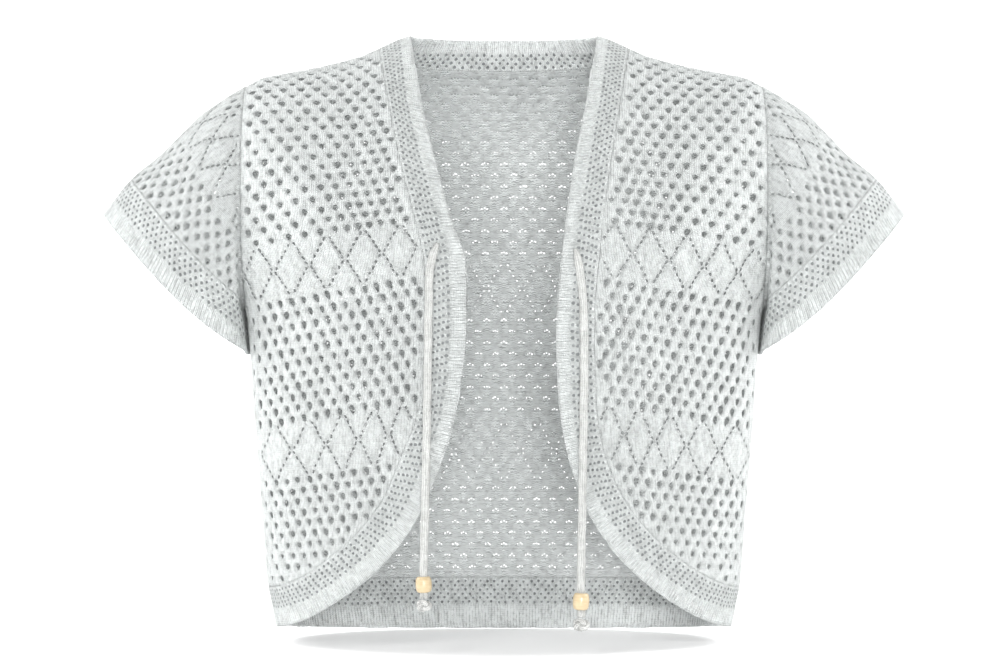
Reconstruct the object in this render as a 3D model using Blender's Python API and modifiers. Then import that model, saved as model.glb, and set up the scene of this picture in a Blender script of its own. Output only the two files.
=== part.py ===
"""Open-front knitted shrug with short sleeves, worn and hollow, built the way it is sewn.

Each cut piece is one wall of cloth: two fronts, a back, two sleeves, two cuffs, two front
bands, a back neck band and a back hem band, with two ties, their beads and their end knots.
The tables are in millimetres and are turned into metres where a mesh is made.
+Z is up, the front faces -Y and the wearer's left is +X. The origin is the middle of the
shoulder line, where the wearer's shoulders carry the cloth.
"""
from math import asin, cos, exp, pi, radians, sin

import bmesh
import bpy
from mathutils import Vector

MM = 0.001
FRONT, BACK = -1, 1
RIGHT, LEFT = -1, 1

# Cloth
PANEL_WALL = 2.0          # lace panels and sleeves
BAND_WALL = 2.4           # bands and cuffs, knitted closer
SEAM_GAP = 0.34           # between two sewn pieces
CUFF_WIDTH = 34.0
SLEEVE_CLEARANCE = 3.0    # from the middle of the body wall to the middle of the sleeve wall

# How finely each piece is divided
ARMHOLE_STEPS = 13        # from the shoulder to the underarm, front or back
SIDE_STEPS = 16           # from the underarm to the hem seam
PANEL_STEPS = 6           # from a band seam to the side
NECK_STEPS = 10
BAND_STEPS = 3
SLEEVE_STEPS = 5
CUFF_STEPS = 2

# Body sections: height, half width, and depth of the front and of the back
BODY_SECTIONS = (
    # z,    half_width, front_depth, back_depth
    (-455, 167.0, 94, 96),
    (-426, 172.5, 97, 99),
    (-411, 176.0, 99, 101),
    (-385, 178.0, 102, 103),
    (-340, 181.5, 107, 106),
    (-290, 185.5, 112, 109),
    (-240, 189.0, 116, 112),
    (-204, 193.0, 117, 113),
    (-165, 205.0, 118, 113),
    (-120, 213.0, 118, 112),
    (-60, 214.0, 117, 110),
    (0, 214.0, 116, 108),
)
SQUARENESS = 2.2          # 2 is an ellipse, more is squarer

# Shoulder line, from the middle of the neck out to the armhole
SHOULDER_LINE = (
    # x,  z
    (0, -3.0),
    (40, -1.5),
    (70, 0.0),
    (93, -9.0),
    (109, -16.0),
    (145, -25.0),
    (181, -32.0),
    (193, -38.0),
)
SHOULDER_Y = 8.0
NECK_X, ARMHOLE_X = 70.0, 193.0
UNDERARM_Z = -204.0
SIDE_HEM_SEAM_Z = -411.0
# How far below the shoulder line the cloth reaches its full depth, and how round it gets there
NECK_FALL = {FRONT: 200.0, BACK: 100.0}
ARM_FALL = 85.0
NECK_ROUNDING, ARM_ROUNDING = 0.62, 0.5

# Soft folds: middle, tilt from upright, half length, half width and rise (a trough is negative)
FOLDS = {
    (FRONT, RIGHT): (
        # x,   z, tilt, length, width, rise
        (150, -196, 58, 42, 11, -2.6),
        (158, -330, 6, 60, 15, 2.2),
        (128, -262, -12, 55, 14, -1.8),
        (112, -86, 24, 48, 13, -1.6),
    ),
    (FRONT, LEFT): (
        (156, -188, 52, 38, 12, -2.9),
        (150, -318, -5, 66, 16, 2.4),
        (120, -246, 14, 50, 13, -1.6),
        (118, -98, 30, 44, 14, -1.8),
    ),
    (BACK, RIGHT): (
        (148, -190, 50, 44, 13, -2.8),
        (92, -330, 4, 74, 18, 2.6),
        (40, -250, -6, 82, 17, -2.0),
    ),
    (BACK, LEFT): (
        (152, -196, 56, 40, 12, -2.6),
        (104, -318, -7, 70, 17, 2.4),
        (28, -352, 5, 60, 16, -1.8),
    ),
}

# Front bands: the free edge along the opening and the seam to the front panel
BAND_STATIONS = {
    RIGHT: (
        # edge_x, edge_z, seam_x, seam_z
        (70.0, 0.0, 93.0, -9.0),
        (59.0, -59.0, 84.0, -53.0),
        (48.0, -104.0, 74.0, -100.0),
        (37.5, -141.0, 64.0, -138.0),
        (27.5, -170.0, 56.5, -172.0),
        (26.6, -200.0, 55.0, -202.0),
        (27.7, -236.0, 56.0, -236.0),
        (35.0, -284.0, 61.0, -279.0),
        (46.0, -319.0, 72.0, -308.0),
        (62.0, -356.0, 86.0, -341.0),
        (83.0, -385.5, 103.0, -364.0),
        (106.0, -407.0, 122.0, -382.0),
        (132.0, -424.5, 145.0, -399.5),
        (153.0, -436.0, 163.0, -408.0),
        (169.5, -441.5, 174.5, -411.2),
    ),
    LEFT: (
        (70.0, 0.0, 93.0, -9.0),
        (60.5, -50.0, 85.5, -48.0),
        (50.0, -104.0, 76.5, -100.0),
        (44.2, -142.0, 70.5, -142.0),
        (41.0, -169.0, 67.5, -171.0),
        (38.3, -198.0, 64.8, -200.0),
        (37.3, -240.0, 64.3, -238.0),
        (41.0, -288.0, 66.5, -283.0),
        (50.5, -326.0, 74.0, -316.0),
        (63.0, -357.0, 86.0, -342.0),
        (82.0, -383.5, 102.5, -364.0),
        (104.0, -405.0, 120.5, -381.5),
        (131.0, -424.0, 144.0, -398.5),
        (152.0, -435.5, 162.0, -407.5),
        (169.5, -441.5, 174.5, -411.2),
    ),
}
# Below the tie the rib rolls back into the opening
RIB_ROLL = {RIGHT: 7.0, LEFT: 5.0}
ROLL_TOP_Z, ROLL_FULL_Z, ROLL_LOW_Z, ROLL_END_Z = -158.0, -178.0, -260.0, -350.0

# Back neck band, from the shoulder line to the middle of the back
NECK_STATIONS = (
    # edge_x, edge_y, edge_z, seam_x, seam_z
    (70.0, 8.0, 0.0, 93.0, -9.0),
    (68.0, 25.0, 1.0, 86.0, -13.0),
    (60.0, 42.0, 1.8, 72.0, -17.0),
    (42.0, 55.0, 2.2, 50.0, -19.5),
    (21.0, 60.5, 2.4, 24.0, -20.5),
    (0.0, 62.0, 2.5, 0.0, -21.0),
)

# Back hem band: the free edge hangs lower in the middle than at the sides
HEM_SIDE_Z, HEM_MIDDLE_Z = -441.5, -453.3
HEM_SEAM_MIDDLE_Z = -414.0

# Sleeve rings: the top and underarm ends of each ring, its half depths and its outward bulge
SLEEVE_RINGS = (
    # along, top_x, top_z, low_x, low_z, front, back, bulge
    (0.00, 193, -38, 193, -204, 57, 60, 0),
    (0.05, 199, -41, 193, -204, 59, 61, 0),
    (0.14, 209, -47, 191, -207, 61, 63, 1),
    (0.32, 229, -61, 190, -214, 61, 63, 2),
    (0.56, 257, -89, 189, -224, 59, 61, 4),
    (0.78, 281, -109, 188, -232, 56, 58, 5),
    (1.00, 300, -134, 187, -239, 53, 55, 6),
)
BULGE_SKEW = 0.6          # how much of the bulge moves from the top of the ring to its underarm
SLEEVE_MIDDLE_Y = 3.0
SLEEVE_LEAST = 0.3        # how far along the sleeve the cuff starts at the underarm

# Ties, each from the band to its knot, with the bead on it
TIE_RADIUS = 2.5
TIE_ROUTES = {
    RIGHT: (
        # x, y, z
        (-47.0, -116.3, -159.0),
        (-50.4, -117.5, -167.0),
        (-52.6, -118.0, -178.0),
        (-53.4, -118.2, -200.0),
        (-54.0, -118.2, -240.0),
        (-54.8, -118.1, -290.0),
        (-55.8, -118.0, -340.0),
        (-56.9, -118.0, -385.0),
        (-57.0, -118.0, -401.4),
        (-57.0, -118.0, -411.8),
    ),
    LEFT: (
        (50.6, -117.2, -163.0),
        (52.6, -117.6, -171.0),
        (54.8, -117.8, -185.0),
        (56.6, -117.9, -210.0),
        (57.0, -117.9, -240.0),
        (56.4, -117.9, -290.0),
        (55.6, -117.9, -340.0),
        (54.8, -117.9, -390.0),
        (54.7, -117.9, -413.0),
        (54.7, -117.9, -424.9),
    ),
}
TIE_POINT_SPACING = 9.0
BEADS = {
    # side: radius, height, z of its middle
    RIGHT: (5.8, 11.4, -401.4),
    LEFT: (5.9, 12.0, -413.4),
}
BEAD_BORE = 2.85
KNOTS = {
    # side: half width, half depth, half height
    RIGHT: (5.7, 5.0, 4.4),
    LEFT: (6.1, 5.2, 4.9),
}
KNOT_GAP = 0.3

COLOURS = {
    "lace": (0.70, 0.73, 0.72, 1.0),
    "band": (0.75, 0.77, 0.77, 1.0),
    "tie": (0.62, 0.61, 0.58, 1.0),
    "bead": (0.62, 0.51, 0.31, 1.0),
}


def clear_scene():
    for item in list(bpy.data.objects):
        bpy.data.objects.remove(item, do_unlink=True)


def smooth_step(share):
    share = min(max(share, 0.0), 1.0)
    return share * share * (3 - 2 * share)


def read_table(rows, key):
    """Read a table at a key in its first column, with a smooth curve through its rows."""
    rows = sorted(rows)
    key = min(max(key, rows[0][0]), rows[-1][0])
    low = max(i for i in range(len(rows) - 1) if rows[i][0] <= key)

    def slope(i, column):
        before, after = rows[max(i - 1, 0)], rows[min(i + 1, len(rows) - 1)]
        return (after[column] - before[column]) / (after[0] - before[0])

    step = rows[low + 1][0] - rows[low][0]
    t = (key - rows[low][0]) / step
    values = []
    for column in range(1, len(rows[0])):
        start, end = rows[low][column], rows[low + 1][column]
        values.append((2 * t**3 - 3 * t**2 + 1) * start
                      + (t**3 - 2 * t**2 + t) * step * slope(low, column)
                      + (3 * t**2 - 2 * t**3) * end
                      + (t**3 - t**2) * step * slope(low + 1, column))
    return values


def along_curve(points, share):
    """A point on the smooth curve through points, at a share of its length."""
    lengths = [0.0]
    for before, after in zip(points, points[1:]):
        lengths.append(lengths[-1] + (after - before).length)
    rows = [(length, *point) for length, point in zip(lengths, points)]
    return Vector(read_table(rows, share * lengths[-1]))


# ---- the worn form -------------------------------------------------------------------

def shoulder_z(x):
    return read_table(SHOULDER_LINE, abs(x))[0]


def fall_share(half, x, z):
    """How much of its full depth the cloth has, below the shoulder line."""
    outward = smooth_step((abs(x) - NECK_X) / (ARMHOLE_X - NECK_X))
    fall = NECK_FALL[half] + (ARM_FALL - NECK_FALL[half]) * outward
    rounding = NECK_ROUNDING + (ARM_ROUNDING - NECK_ROUNDING) * outward
    left_to_fall = 1 - min(max((shoulder_z(x) - z) / fall, 0.0), 1.0)
    return (1 - left_to_fall**2) ** rounding


def fold_rise(half, x, z):
    rise = 0.0
    for fold_x, fold_z, tilt, length, width, height in FOLDS[half, LEFT if x > 0 else RIGHT]:
        dx, dz = abs(x) - fold_x, z - fold_z
        lean = radians(tilt)
        across = dx * cos(lean) + dz * sin(lean)
        along = dz * cos(lean) - dx * sin(lean)
        rise += height * exp(-(across / width) ** 2 - (along / length) ** 2)
    return rise


def body_depth(half, x, z):
    """The y of the body cloth on its front or back half."""
    half_width, front_depth, back_depth = read_table(BODY_SECTIONS, z)
    depth = front_depth if half == FRONT else back_depth
    reach = min(abs(x) / half_width, 1.0)
    round_share = (1 - reach**SQUARENESS) ** (1 / SQUARENESS)
    middle = SHOULDER_Y * (1 - smooth_step(z / UNDERARM_Z))
    return middle + half * fall_share(half, x, z) * round_share * (
        depth + fold_rise(half, x, z))


def girth_angle(x, z):
    """The angle round the body section at which it is x wide of the middle."""
    half_width = read_table(BODY_SECTIONS, z)[0]
    return asin(min(abs(x) / half_width, 1.0) ** (SQUARENESS / 2))


def body_point(half, side, angle, z):
    half_width = read_table(BODY_SECTIONS, z)[0]
    x = side * half_width * sin(angle) ** (2 / SQUARENESS)
    return Vector((x, body_depth(half, x, z), z))


def armhole_point(half, side, turn):
    """The armhole from the shoulder, turn 0, to the underarm, turn pi."""
    top = shoulder_z(ARMHOLE_X)
    z = (top + UNDERARM_Z) / 2 + (top - UNDERARM_Z) / 2 * cos(turn)
    if turn > pi - 0.01:
        return Vector((side * ARMHOLE_X, 0.0, z))
    return Vector((side * ARMHOLE_X, body_depth(half, ARMHOLE_X, z), z))


def outer_edge(half, side):
    """Armhole and then side seam: where a front and the back end at the side."""
    points = [armhole_point(half, side, pi * i / ARMHOLE_STEPS)
              for i in range(ARMHOLE_STEPS + 1)]
    for i in range(1, SIDE_STEPS + 1):
        z = UNDERARM_Z + (SIDE_HEM_SEAM_Z - UNDERARM_Z) * i / SIDE_STEPS
        points.append(body_point(half, side, pi / 2, z))
    return points


def row_on_body(half, side, start, end, shares, shape):
    """A row of points from start to end; shares place them and shape lifts each one."""
    angles = [girth_angle(point.x, point.z) for point in (start, end)]
    row = []
    for share, lift in zip(shares, shape):
        angle = angles[0] + (angles[1] - angles[0]) * share
        z = start.z + (end.z - start.z) * share + lift
        row.append(body_point(half, side, angle, z))
    row[0], row[-1] = start, end
    return row


def even_shares(steps):
    return [i / steps for i in range(steps + 1)]


# ---- the pieces: each is a list of lines of points in the middle of its wall ----------

def roll_back(side, z, outward):
    """How far the rib turns back at a height, from the seam, 0, to the free edge, 1."""
    if z > ROLL_FULL_Z:
        amount = smooth_step((ROLL_TOP_Z - z) / (ROLL_TOP_Z - ROLL_FULL_Z))
    else:
        amount = 1 - smooth_step((ROLL_LOW_Z - z) / (ROLL_LOW_Z - ROLL_END_Z))
    return RIB_ROLL[side] * amount * smooth_step((outward - 0.45) / 0.55)


def hem_side_line(side):
    """The end of a front band and of the hem band, at the side seam, from seam to edge."""
    return [body_point(BACK, side, pi / 2, SIDE_HEM_SEAM_Z + (HEM_SIDE_Z - SIDE_HEM_SEAM_Z) * s)
            for s in even_shares(BAND_STEPS)]


def front_band_lines(side):
    """Each line runs across the band, from the seam to the free edge."""
    steps = ARMHOLE_STEPS + SIDE_STEPS
    stations = [(i / (len(BAND_STATIONS[side]) - 1), *row)
                for i, row in enumerate(BAND_STATIONS[side])]
    lines = []
    for i in range(steps + 1):
        edge_x, edge_z, seam_x, seam_z = read_table(stations, i / steps)
        line = []
        for outward in even_shares(BAND_STEPS):
            x = seam_x + (edge_x - seam_x) * outward
            z = shoulder_z(x) if i == 0 else seam_z + (edge_z - seam_z) * outward
            point = body_point(FRONT, side, girth_angle(x, z), z)
            point.y += roll_back(side, z, outward)
            line.append(point)
        lines.append(line)
    return lines + [hem_side_line(side)]


def front_panel_lines(side):
    """Each line runs from the band seam to the armhole or the side seam."""
    seam = [line[0] for line in front_band_lines(side)[:-1]]
    edge = outer_edge(FRONT, side)
    shares = even_shares(PANEL_STEPS)
    shoulder_x = [seam[0].x + (edge[0].x - seam[0].x) * share for share in shares]
    level = [seam[0].z + (edge[0].z - seam[0].z) * share for share in shares]
    shoulder = [shoulder_z(x) - z for x, z in zip(shoulder_x, level)]
    lines = [[body_point(FRONT, side, girth_angle(x, shoulder_z(x)), shoulder_z(x))
              for x in shoulder_x]]
    lines[0][0], lines[0][-1] = seam[0], edge[0]
    for i in range(1, len(edge) - 1):
        fade = 1 - smooth_step(i / ARMHOLE_STEPS)
        shape = [lift * fade for lift in shoulder]
        lines.append(row_on_body(FRONT, side, seam[i], edge[i], shares, shape))
    lines.append([seam[-1].lerp(edge[-1], share) for share in shares])
    return lines


def neck_band_lines():
    """Each line runs from the seam up to the free edge, round the back of the neck."""
    stations = [(i, *row) for i, row in enumerate(NECK_STATIONS)]
    lines = []
    for i in range(NECK_STEPS + 1):
        share = 2 * i / NECK_STEPS - 1
        side = LEFT if share > 0 else RIGHT
        if abs(share) == 1:
            lines.append([point.copy() for point in front_band_lines(side)[0]])
            continue
        edge_x, edge_y, edge_z, seam_x, seam_z = read_table(
            stations, (len(stations) - 1) * (1 - abs(share)))
        seam = Vector((side * seam_x, body_depth(BACK, seam_x, seam_z), seam_z))
        edge = Vector((side * edge_x, edge_y, edge_z))
        lines.append([seam.lerp(edge, outward) for outward in even_shares(BAND_STEPS)])
    return lines


def back_panel_lines():
    """Each line runs from the wearer's right side to the left; the first is the top."""
    neck = [line[0] for line in neck_band_lines()]
    right, left = front_panel_lines(RIGHT)[0], front_panel_lines(LEFT)[0]
    top = right[:0:-1] + neck + left[1:]
    lines = [top]
    edges = list(zip(outer_edge(BACK, RIGHT), outer_edge(BACK, LEFT)))
    columns = len(top) - 1
    top_angles = [girth_angle(point.x, point.z) * (LEFT if point.x > 0 else RIGHT)
                  for point in top]
    for i, (right_end, left_end) in enumerate(edges[1:], 1):
        even = smooth_step(i / ARMHOLE_STEPS)
        edge_angle = girth_angle(left_end.x, left_end.z)
        row = [right_end]
        for j in range(1, columns):
            across = top_angles[j] / top_angles[-1]
            across += (2 * j / columns - 1 - across) * even
            z = left_end.z + (top[j].z - top[0].z) * (1 - even)
            hang = smooth_step(2 * i / len(edges) - 1) * (1 - across**2)
            z += (HEM_SEAM_MIDDLE_Z - SIDE_HEM_SEAM_Z) * hang
            side = LEFT if across > 0 else RIGHT
            row.append(body_point(BACK, side, abs(across) * edge_angle, z))
        lines.append(row + [left_end])
    return lines


def hem_band_lines():
    """Each line runs from the seam down to the free edge, round the back."""
    seam = back_panel_lines()[-1]
    columns = len(seam) - 1
    lines = []
    for j, start in enumerate(seam):
        across = 2 * j / columns - 1
        side = LEFT if across > 0 else RIGHT
        if abs(across) == 1:
            lines.append(hem_side_line(side))
            continue
        end_z = HEM_SIDE_Z + (HEM_MIDDLE_Z - HEM_SIDE_Z) * (1 - across**2)
        angle = abs(across) * pi / 2
        line = [body_point(BACK, side, angle, start.z + (end_z - start.z) * share)
                for share in even_shares(BAND_STEPS)]
        lines.append([start] + line[1:])
    return lines


def clear_of_body(side, point, along):
    """Keep a sleeve point outside the side of the body cloth that hangs beside it."""
    cloth_x = min(ARMHOLE_X, read_table(BODY_SECTIONS, point.z)[0])
    least = cloth_x + SLEEVE_CLEARANCE * min(along / SLEEVE_RINGS[1][0], 1.0)
    point.x = side * max(abs(point.x), least)
    return point


def sleeve_point(side, step, along):
    """A point of the sleeve, step by step round from the top over the front."""
    turn = pi * step / ARMHOLE_STEPS
    half = FRONT if step <= ARMHOLE_STEPS else BACK
    start = armhole_point(half, side, turn if half == FRONT else 2 * pi - turn)
    if along == 0:
        return start
    top_x, top_z, low_x, low_z, front, back, bulge = read_table(SLEEVE_RINGS, along)
    top, low = Vector((top_x, 0, top_z)), Vector((low_x, 0, low_z))
    outward = Vector((top.z - low.z, 0, low.x - top.x)).normalized()
    depth = front if half == FRONT else back
    bulge *= sin(turn) ** 2 * (1 - BULGE_SKEW * cos(turn))
    point = (top + low) / 2 + (top - low) / 2 * cos(turn) + outward * bulge
    middle = SHOULDER_Y + (SLEEVE_MIDDLE_Y - SHOULDER_Y) * (1 - cos(turn)) / 2
    point.y = middle - depth * sin(turn)
    point.x *= side
    leave = smooth_step(along / SLEEVE_RINGS[2][0])
    return clear_of_body(side, start.lerp(point, leave), along)


def cuff_seam_share(side, step):
    """How far along the sleeve its cuff starts, at a step round it."""
    points = [sleeve_point(side, step, share) for share in even_shares(24)]
    lengths = [(0.0, 0.0)]
    for i, (before, after) in enumerate(zip(points, points[1:]), 1):
        lengths.append((lengths[-1][0] + (after - before).length, i / 24))
    return max(read_table(lengths, lengths[-1][0] - CUFF_WIDTH)[0], SLEEVE_LEAST)


def sleeve_and_cuff_lines(side):
    """Lines from the armhole to the cuff seam, and from there to the edge, all round."""
    sleeve, cuff = [], []
    for step in range(2 * ARMHOLE_STEPS):
        seam = cuff_seam_share(side, step)
        sleeve.append([sleeve_point(side, step, seam * share)
                       for share in even_shares(SLEEVE_STEPS)])
        cuff.append([sleeve_point(side, step, seam + (1 - seam) * share)
                     for share in even_shares(CUFF_STEPS)])
    return sleeve, cuff


# ---- walls ---------------------------------------------------------------------------

def corner_key(point):
    return tuple(round(value, 2) for value in point)


class Piece:
    """A cut piece of cloth: its lines of points, which close into a ring on a sleeve."""

    def __init__(self, name, lines, wall, colour, closed=False):
        self.name, self.lines, self.wall, self.colour = name, lines, wall, colour
        self.closed = closed
        self.rows, self.columns = len(lines), len(lines[0])
        self.keys = {corner_key(point) for line in lines for point in line}
        self.facing = 1
        out = sum(normal.dot(middle - self.inside(middle))
                  for _, normal, middle in self.cells())
        self.facing = 1 if out > 0 else -1

    def inside(self, point):
        """A point of the hollow that the cloth at a point goes round."""
        if self.closed:
            ring = [line[self.columns // 2] for line in self.lines]
            return sum(ring, Vector()) / self.rows
        return Vector((point.x * 0.55, 0, point.z - 40))

    def cells(self):
        for i in range(self.rows if self.closed else self.rows - 1):
            below = (i + 1) % self.rows
            for j in range(self.columns - 1):
                corners = [(i, j), (below, j), (below, j + 1), (i, j + 1)]
                a, b, c, d = [self.lines[row][column] for row, column in corners]
                yield corners, (c - a).cross(d - b) * self.facing, (a + b + c + d) / 4

    def add_normals(self, normals):
        for corners, normal, _ in self.cells():
            for row, column in corners:
                key = corner_key(self.lines[row][column])
                normals[key] = normals.get(key, Vector()) + normal

    def edges_at(self, row, column):
        """For each edge of the piece at a point: the points before and after, and inside."""
        last_row, last_column = self.rows - 1, self.columns - 1
        if column in (0, last_column):
            inner = self.lines[row][1 if column == 0 else last_column - 1]
            if self.closed:
                before, after = (row - 1) % self.rows, (row + 1) % self.rows
            else:
                before, after = max(row - 1, 0), min(row + 1, last_row)
            yield self.lines[before][column], self.lines[after][column], inner
        if not self.closed and row in (0, last_row):
            inner = self.lines[1 if row == 0 else last_row - 1][column]
            line = self.lines[row]
            yield line[max(column - 1, 0)], line[min(column + 1, last_column)], inner

    def set_back(self, row, column, normal, others):
        """The point, moved half a seam gap into the piece from each seam it lies on."""
        point = self.lines[row][column]
        moved = point.copy()
        for before, after, inner in self.edges_at(row, column):
            sewn = any({corner_key(point), corner_key(end)} <= other.keys
                       for end in (before, after) if end is not point for other in others)
            if sewn:
                away = normal.cross(after - before).normalized()
                away *= 1 if away.dot(inner - point) > 0 else -1
                moved += away * SEAM_GAP / 2
        return moved

    def build(self, normals, others):
        mesh = bmesh.new()
        skins = {}
        for row in range(self.rows):
            for column in range(self.columns):
                normal = normals[corner_key(self.lines[row][column])].normalized()
                middle = self.set_back(row, column, normal, others)
                for skin in (-1, 1):
                    place = middle + normal * skin * self.wall / 2
                    skins[skin, row, column] = mesh.verts.new(place * MM)
        sides = set()
        for corners, _, _ in self.cells():
            order = corners if self.facing == 1 else corners[::-1]
            mesh.faces.new([skins[1, *corner] for corner in order])
            mesh.faces.new([skins[-1, *corner] for corner in order[::-1]])
            sides.update(zip(order, order[1:] + order[:1]))
        for start, end in sides:
            if (end, start) not in sides:
                self.add_rim(mesh, skins, start, end)
        return add_object(self.name, mesh, self.colour)

    def add_rim(self, mesh, skins, start, end):
        """Close the wall's edge, split the same way on both pieces of a seam."""
        rim = [skins[1, *end], skins[1, *start], skins[-1, *start], skins[-1, *end]]
        keys = [corner_key(self.lines[row][column]) for row, column in (start, end)]
        if keys[0] < keys[1]:
            rim = rim[1:] + rim[:1]
        mesh.faces.new(rim[:3])
        mesh.faces.new([rim[2], rim[3], rim[0]])


def cloth_pieces():
    pieces = [
        Piece("back", back_panel_lines(), PANEL_WALL, "lace"),
        Piece("band_neck", neck_band_lines(), BAND_WALL, "band"),
        Piece("band_hem", hem_band_lines(), BAND_WALL, "band"),
    ]
    for side, word in ((RIGHT, "right"), (LEFT, "left")):
        sleeve, cuff = sleeve_and_cuff_lines(side)
        pieces += [
            Piece(f"front_{word}", front_panel_lines(side), PANEL_WALL, "lace"),
            Piece(f"band_{word}", front_band_lines(side), BAND_WALL, "band"),
            Piece(f"sleeve_{word}", sleeve, PANEL_WALL, "lace", closed=True),
            Piece(f"cuff_{word}", cuff, BAND_WALL, "band", closed=True),
        ]
    return pieces


# ---- Blender objects -----------------------------------------------------------------

def material(colour):
    name = f"{colour}_finish"
    if name in bpy.data.materials:
        return bpy.data.materials[name]
    made = bpy.data.materials.new(name)
    made.use_nodes = True
    shader = made.node_tree.nodes["Principled BSDF"]
    shader.inputs["Base Color"].default_value = COLOURS[colour]
    shader.inputs["Roughness"].default_value = 0.45 if colour == "bead" else 0.75
    return made


def link(made, colour):
    made.data.materials.append(material(colour))
    bpy.data.collections["knitted_shrug"].objects.link(made)
    return made


def add_object(name, mesh, colour):
    data = bpy.data.meshes.new(name)
    mesh.to_mesh(data)
    mesh.free()
    data.shade_smooth()
    data.set_sharp_from_angle(angle=radians(60))
    return link(bpy.data.objects.new(name, data), colour)


def add_tie(name, route):
    """A knitted cord: a tube along the smooth curve through its route."""
    points = [Vector(row) for row in route]
    length = sum((after - before).length for before, after in zip(points, points[1:]))
    count = round(length / TIE_POINT_SPACING)
    curve = bpy.data.curves.new(name, "CURVE")
    curve.dimensions = "3D"
    curve.bevel_depth = TIE_RADIUS * MM
    curve.bevel_resolution = 2
    curve.use_fill_caps = True
    spline = curve.splines.new("POLY")
    spline.points.add(count)
    for i, point in enumerate(spline.points):
        point.co = (*(along_curve(points, i / count) * MM), 1)
    return link(bpy.data.objects.new(name, curve), "tie")


def add_bead(name, radius, height, place):
    """A turned wooden bead with a bore: its profile runs down the outside and up the bore."""
    half = height / 2
    profile = [(BEAD_BORE, half * 0.96), (radius * 0.62, half), (radius * 0.86, half * 0.8),
               (radius * 0.97, half * 0.45), (radius, 0)]
    profile += [(r, -z) for r, z in profile[-2::-1]]
    data = bpy.data.meshes.new(name)
    data.from_pydata([(r * MM, 0, z * MM) for r, z in profile],
                     [(i, (i + 1) % len(profile)) for i in range(len(profile))], [])
    bead = link(bpy.data.objects.new(name, data), "bead")
    bead.location = place * MM
    turn = bead.modifiers.new("turn", "SCREW")
    turn.steps = turn.render_steps = 20
    turn.use_merge_vertices = True
    turn.merge_threshold = 0.00001
    return bead


def add_knot(name, half_sizes, place):
    """The tie's end, tied in a plain knot: its outer shape."""
    mesh = bmesh.new()
    bmesh.ops.create_uvsphere(mesh, u_segments=14, v_segments=9, radius=1)
    bmesh.ops.scale(mesh, vec=Vector(half_sizes) * MM, verts=mesh.verts)
    knot = add_object(name, mesh, "tie")
    knot.location = place * MM
    return knot


def build():
    clear_scene()
    bpy.context.scene.collection.children.link(bpy.data.collections.new("knitted_shrug"))

    pieces = cloth_pieces()
    normals = {}
    for piece in pieces:
        piece.add_normals(normals)
    for piece in pieces:
        piece.build(normals, [other for other in pieces if other is not piece])

    for side, word in ((RIGHT, "right"), (LEFT, "left")):
        route = TIE_ROUTES[side]
        add_tie(f"tie_{word}", route)
        end = Vector(route[-1])
        radius, height, z = BEADS[side]
        add_bead(f"bead_{word}", radius, height, Vector((end.x, end.y, z)))
        half_sizes = KNOTS[side]
        drop = Vector((0, 0, KNOT_GAP + half_sizes[2]))
        add_knot(f"knot_{word}", half_sizes, end - drop)


build()
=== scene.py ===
from math import asin, cos, exp, pi, radians, sin

import bmesh
import bpy
import numpy as np
from mathutils import Matrix, Vector
from mathutils.geometry import delaunay_2d_cdt
from mathutils.kdtree import KDTree


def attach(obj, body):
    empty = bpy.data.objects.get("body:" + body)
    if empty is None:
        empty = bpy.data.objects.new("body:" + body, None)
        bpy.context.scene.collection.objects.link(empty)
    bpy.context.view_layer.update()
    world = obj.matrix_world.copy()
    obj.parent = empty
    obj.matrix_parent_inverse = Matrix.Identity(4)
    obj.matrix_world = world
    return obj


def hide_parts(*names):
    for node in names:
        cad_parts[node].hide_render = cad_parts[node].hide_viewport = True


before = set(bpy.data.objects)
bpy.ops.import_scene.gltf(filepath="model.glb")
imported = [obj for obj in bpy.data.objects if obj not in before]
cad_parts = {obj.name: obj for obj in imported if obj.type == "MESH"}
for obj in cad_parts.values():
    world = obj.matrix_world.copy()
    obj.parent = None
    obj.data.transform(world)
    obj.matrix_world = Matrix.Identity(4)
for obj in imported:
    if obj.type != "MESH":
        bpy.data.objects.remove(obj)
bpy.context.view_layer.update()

# ---- Back -------------------------------------------------------------------------------
# One panel from the shoulders to the hem seam, machine knitted in a pointelle lace of cool
# pale grey yarn: staggered rows of teardrop holes and two bands of plain diamonds outlined
# in small slits. It is linked to the fronts at the shoulders and the sides.
MM = 0.001                # the tables are in millimetres
FRONT, BACK = -1, 1
RIGHT, LEFT = -1, 1       # as worn
SIDES = ((RIGHT, "right"), (LEFT, "left"))

# Body sections: height, half width, and depth of the front and of the back
BODY_SECTIONS = (
    # z,    half_width, front_depth, back_depth
    (-455, 167.0, 94, 96),
    (-426, 172.5, 97, 99),
    (-411, 176.0, 99, 101),
    (-385, 178.0, 102, 103),
    (-340, 181.5, 107, 106),
    (-290, 185.5, 112, 109),
    (-240, 189.0, 116, 112),
    (-204, 193.0, 117, 113),
    (-165, 205.0, 118, 113),
    (-120, 213.0, 118, 112),
    (-60, 214.0, 117, 110),
    (0, 214.0, 116, 108),
)
SQUARENESS = 2.2          # 2 is an ellipse, more is squarer

# Shoulder line, from the middle of the neck out to the armhole
SHOULDER_LINE = (
    # x,  z
    (0, -3.0),
    (40, -1.5),
    (70, 0.0),
    (93, -9.0),
    (109, -16.0),
    (145, -25.0),
    (181, -32.0),
    (193, -38.0),
)
SHOULDER_Y = 8.0
NECK_X, ARMHOLE_X = 70.0, 193.0
UNDERARM_Z = -204.0
SIDE_HEM_SEAM_Z = -411.0
# How far below the shoulder line the cloth reaches its full depth, and how round it gets there
NECK_FALL = {FRONT: 200.0, BACK: 100.0}
ARM_FALL = 85.0
NECK_ROUNDING, ARM_ROUNDING = 0.62, 0.5

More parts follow.
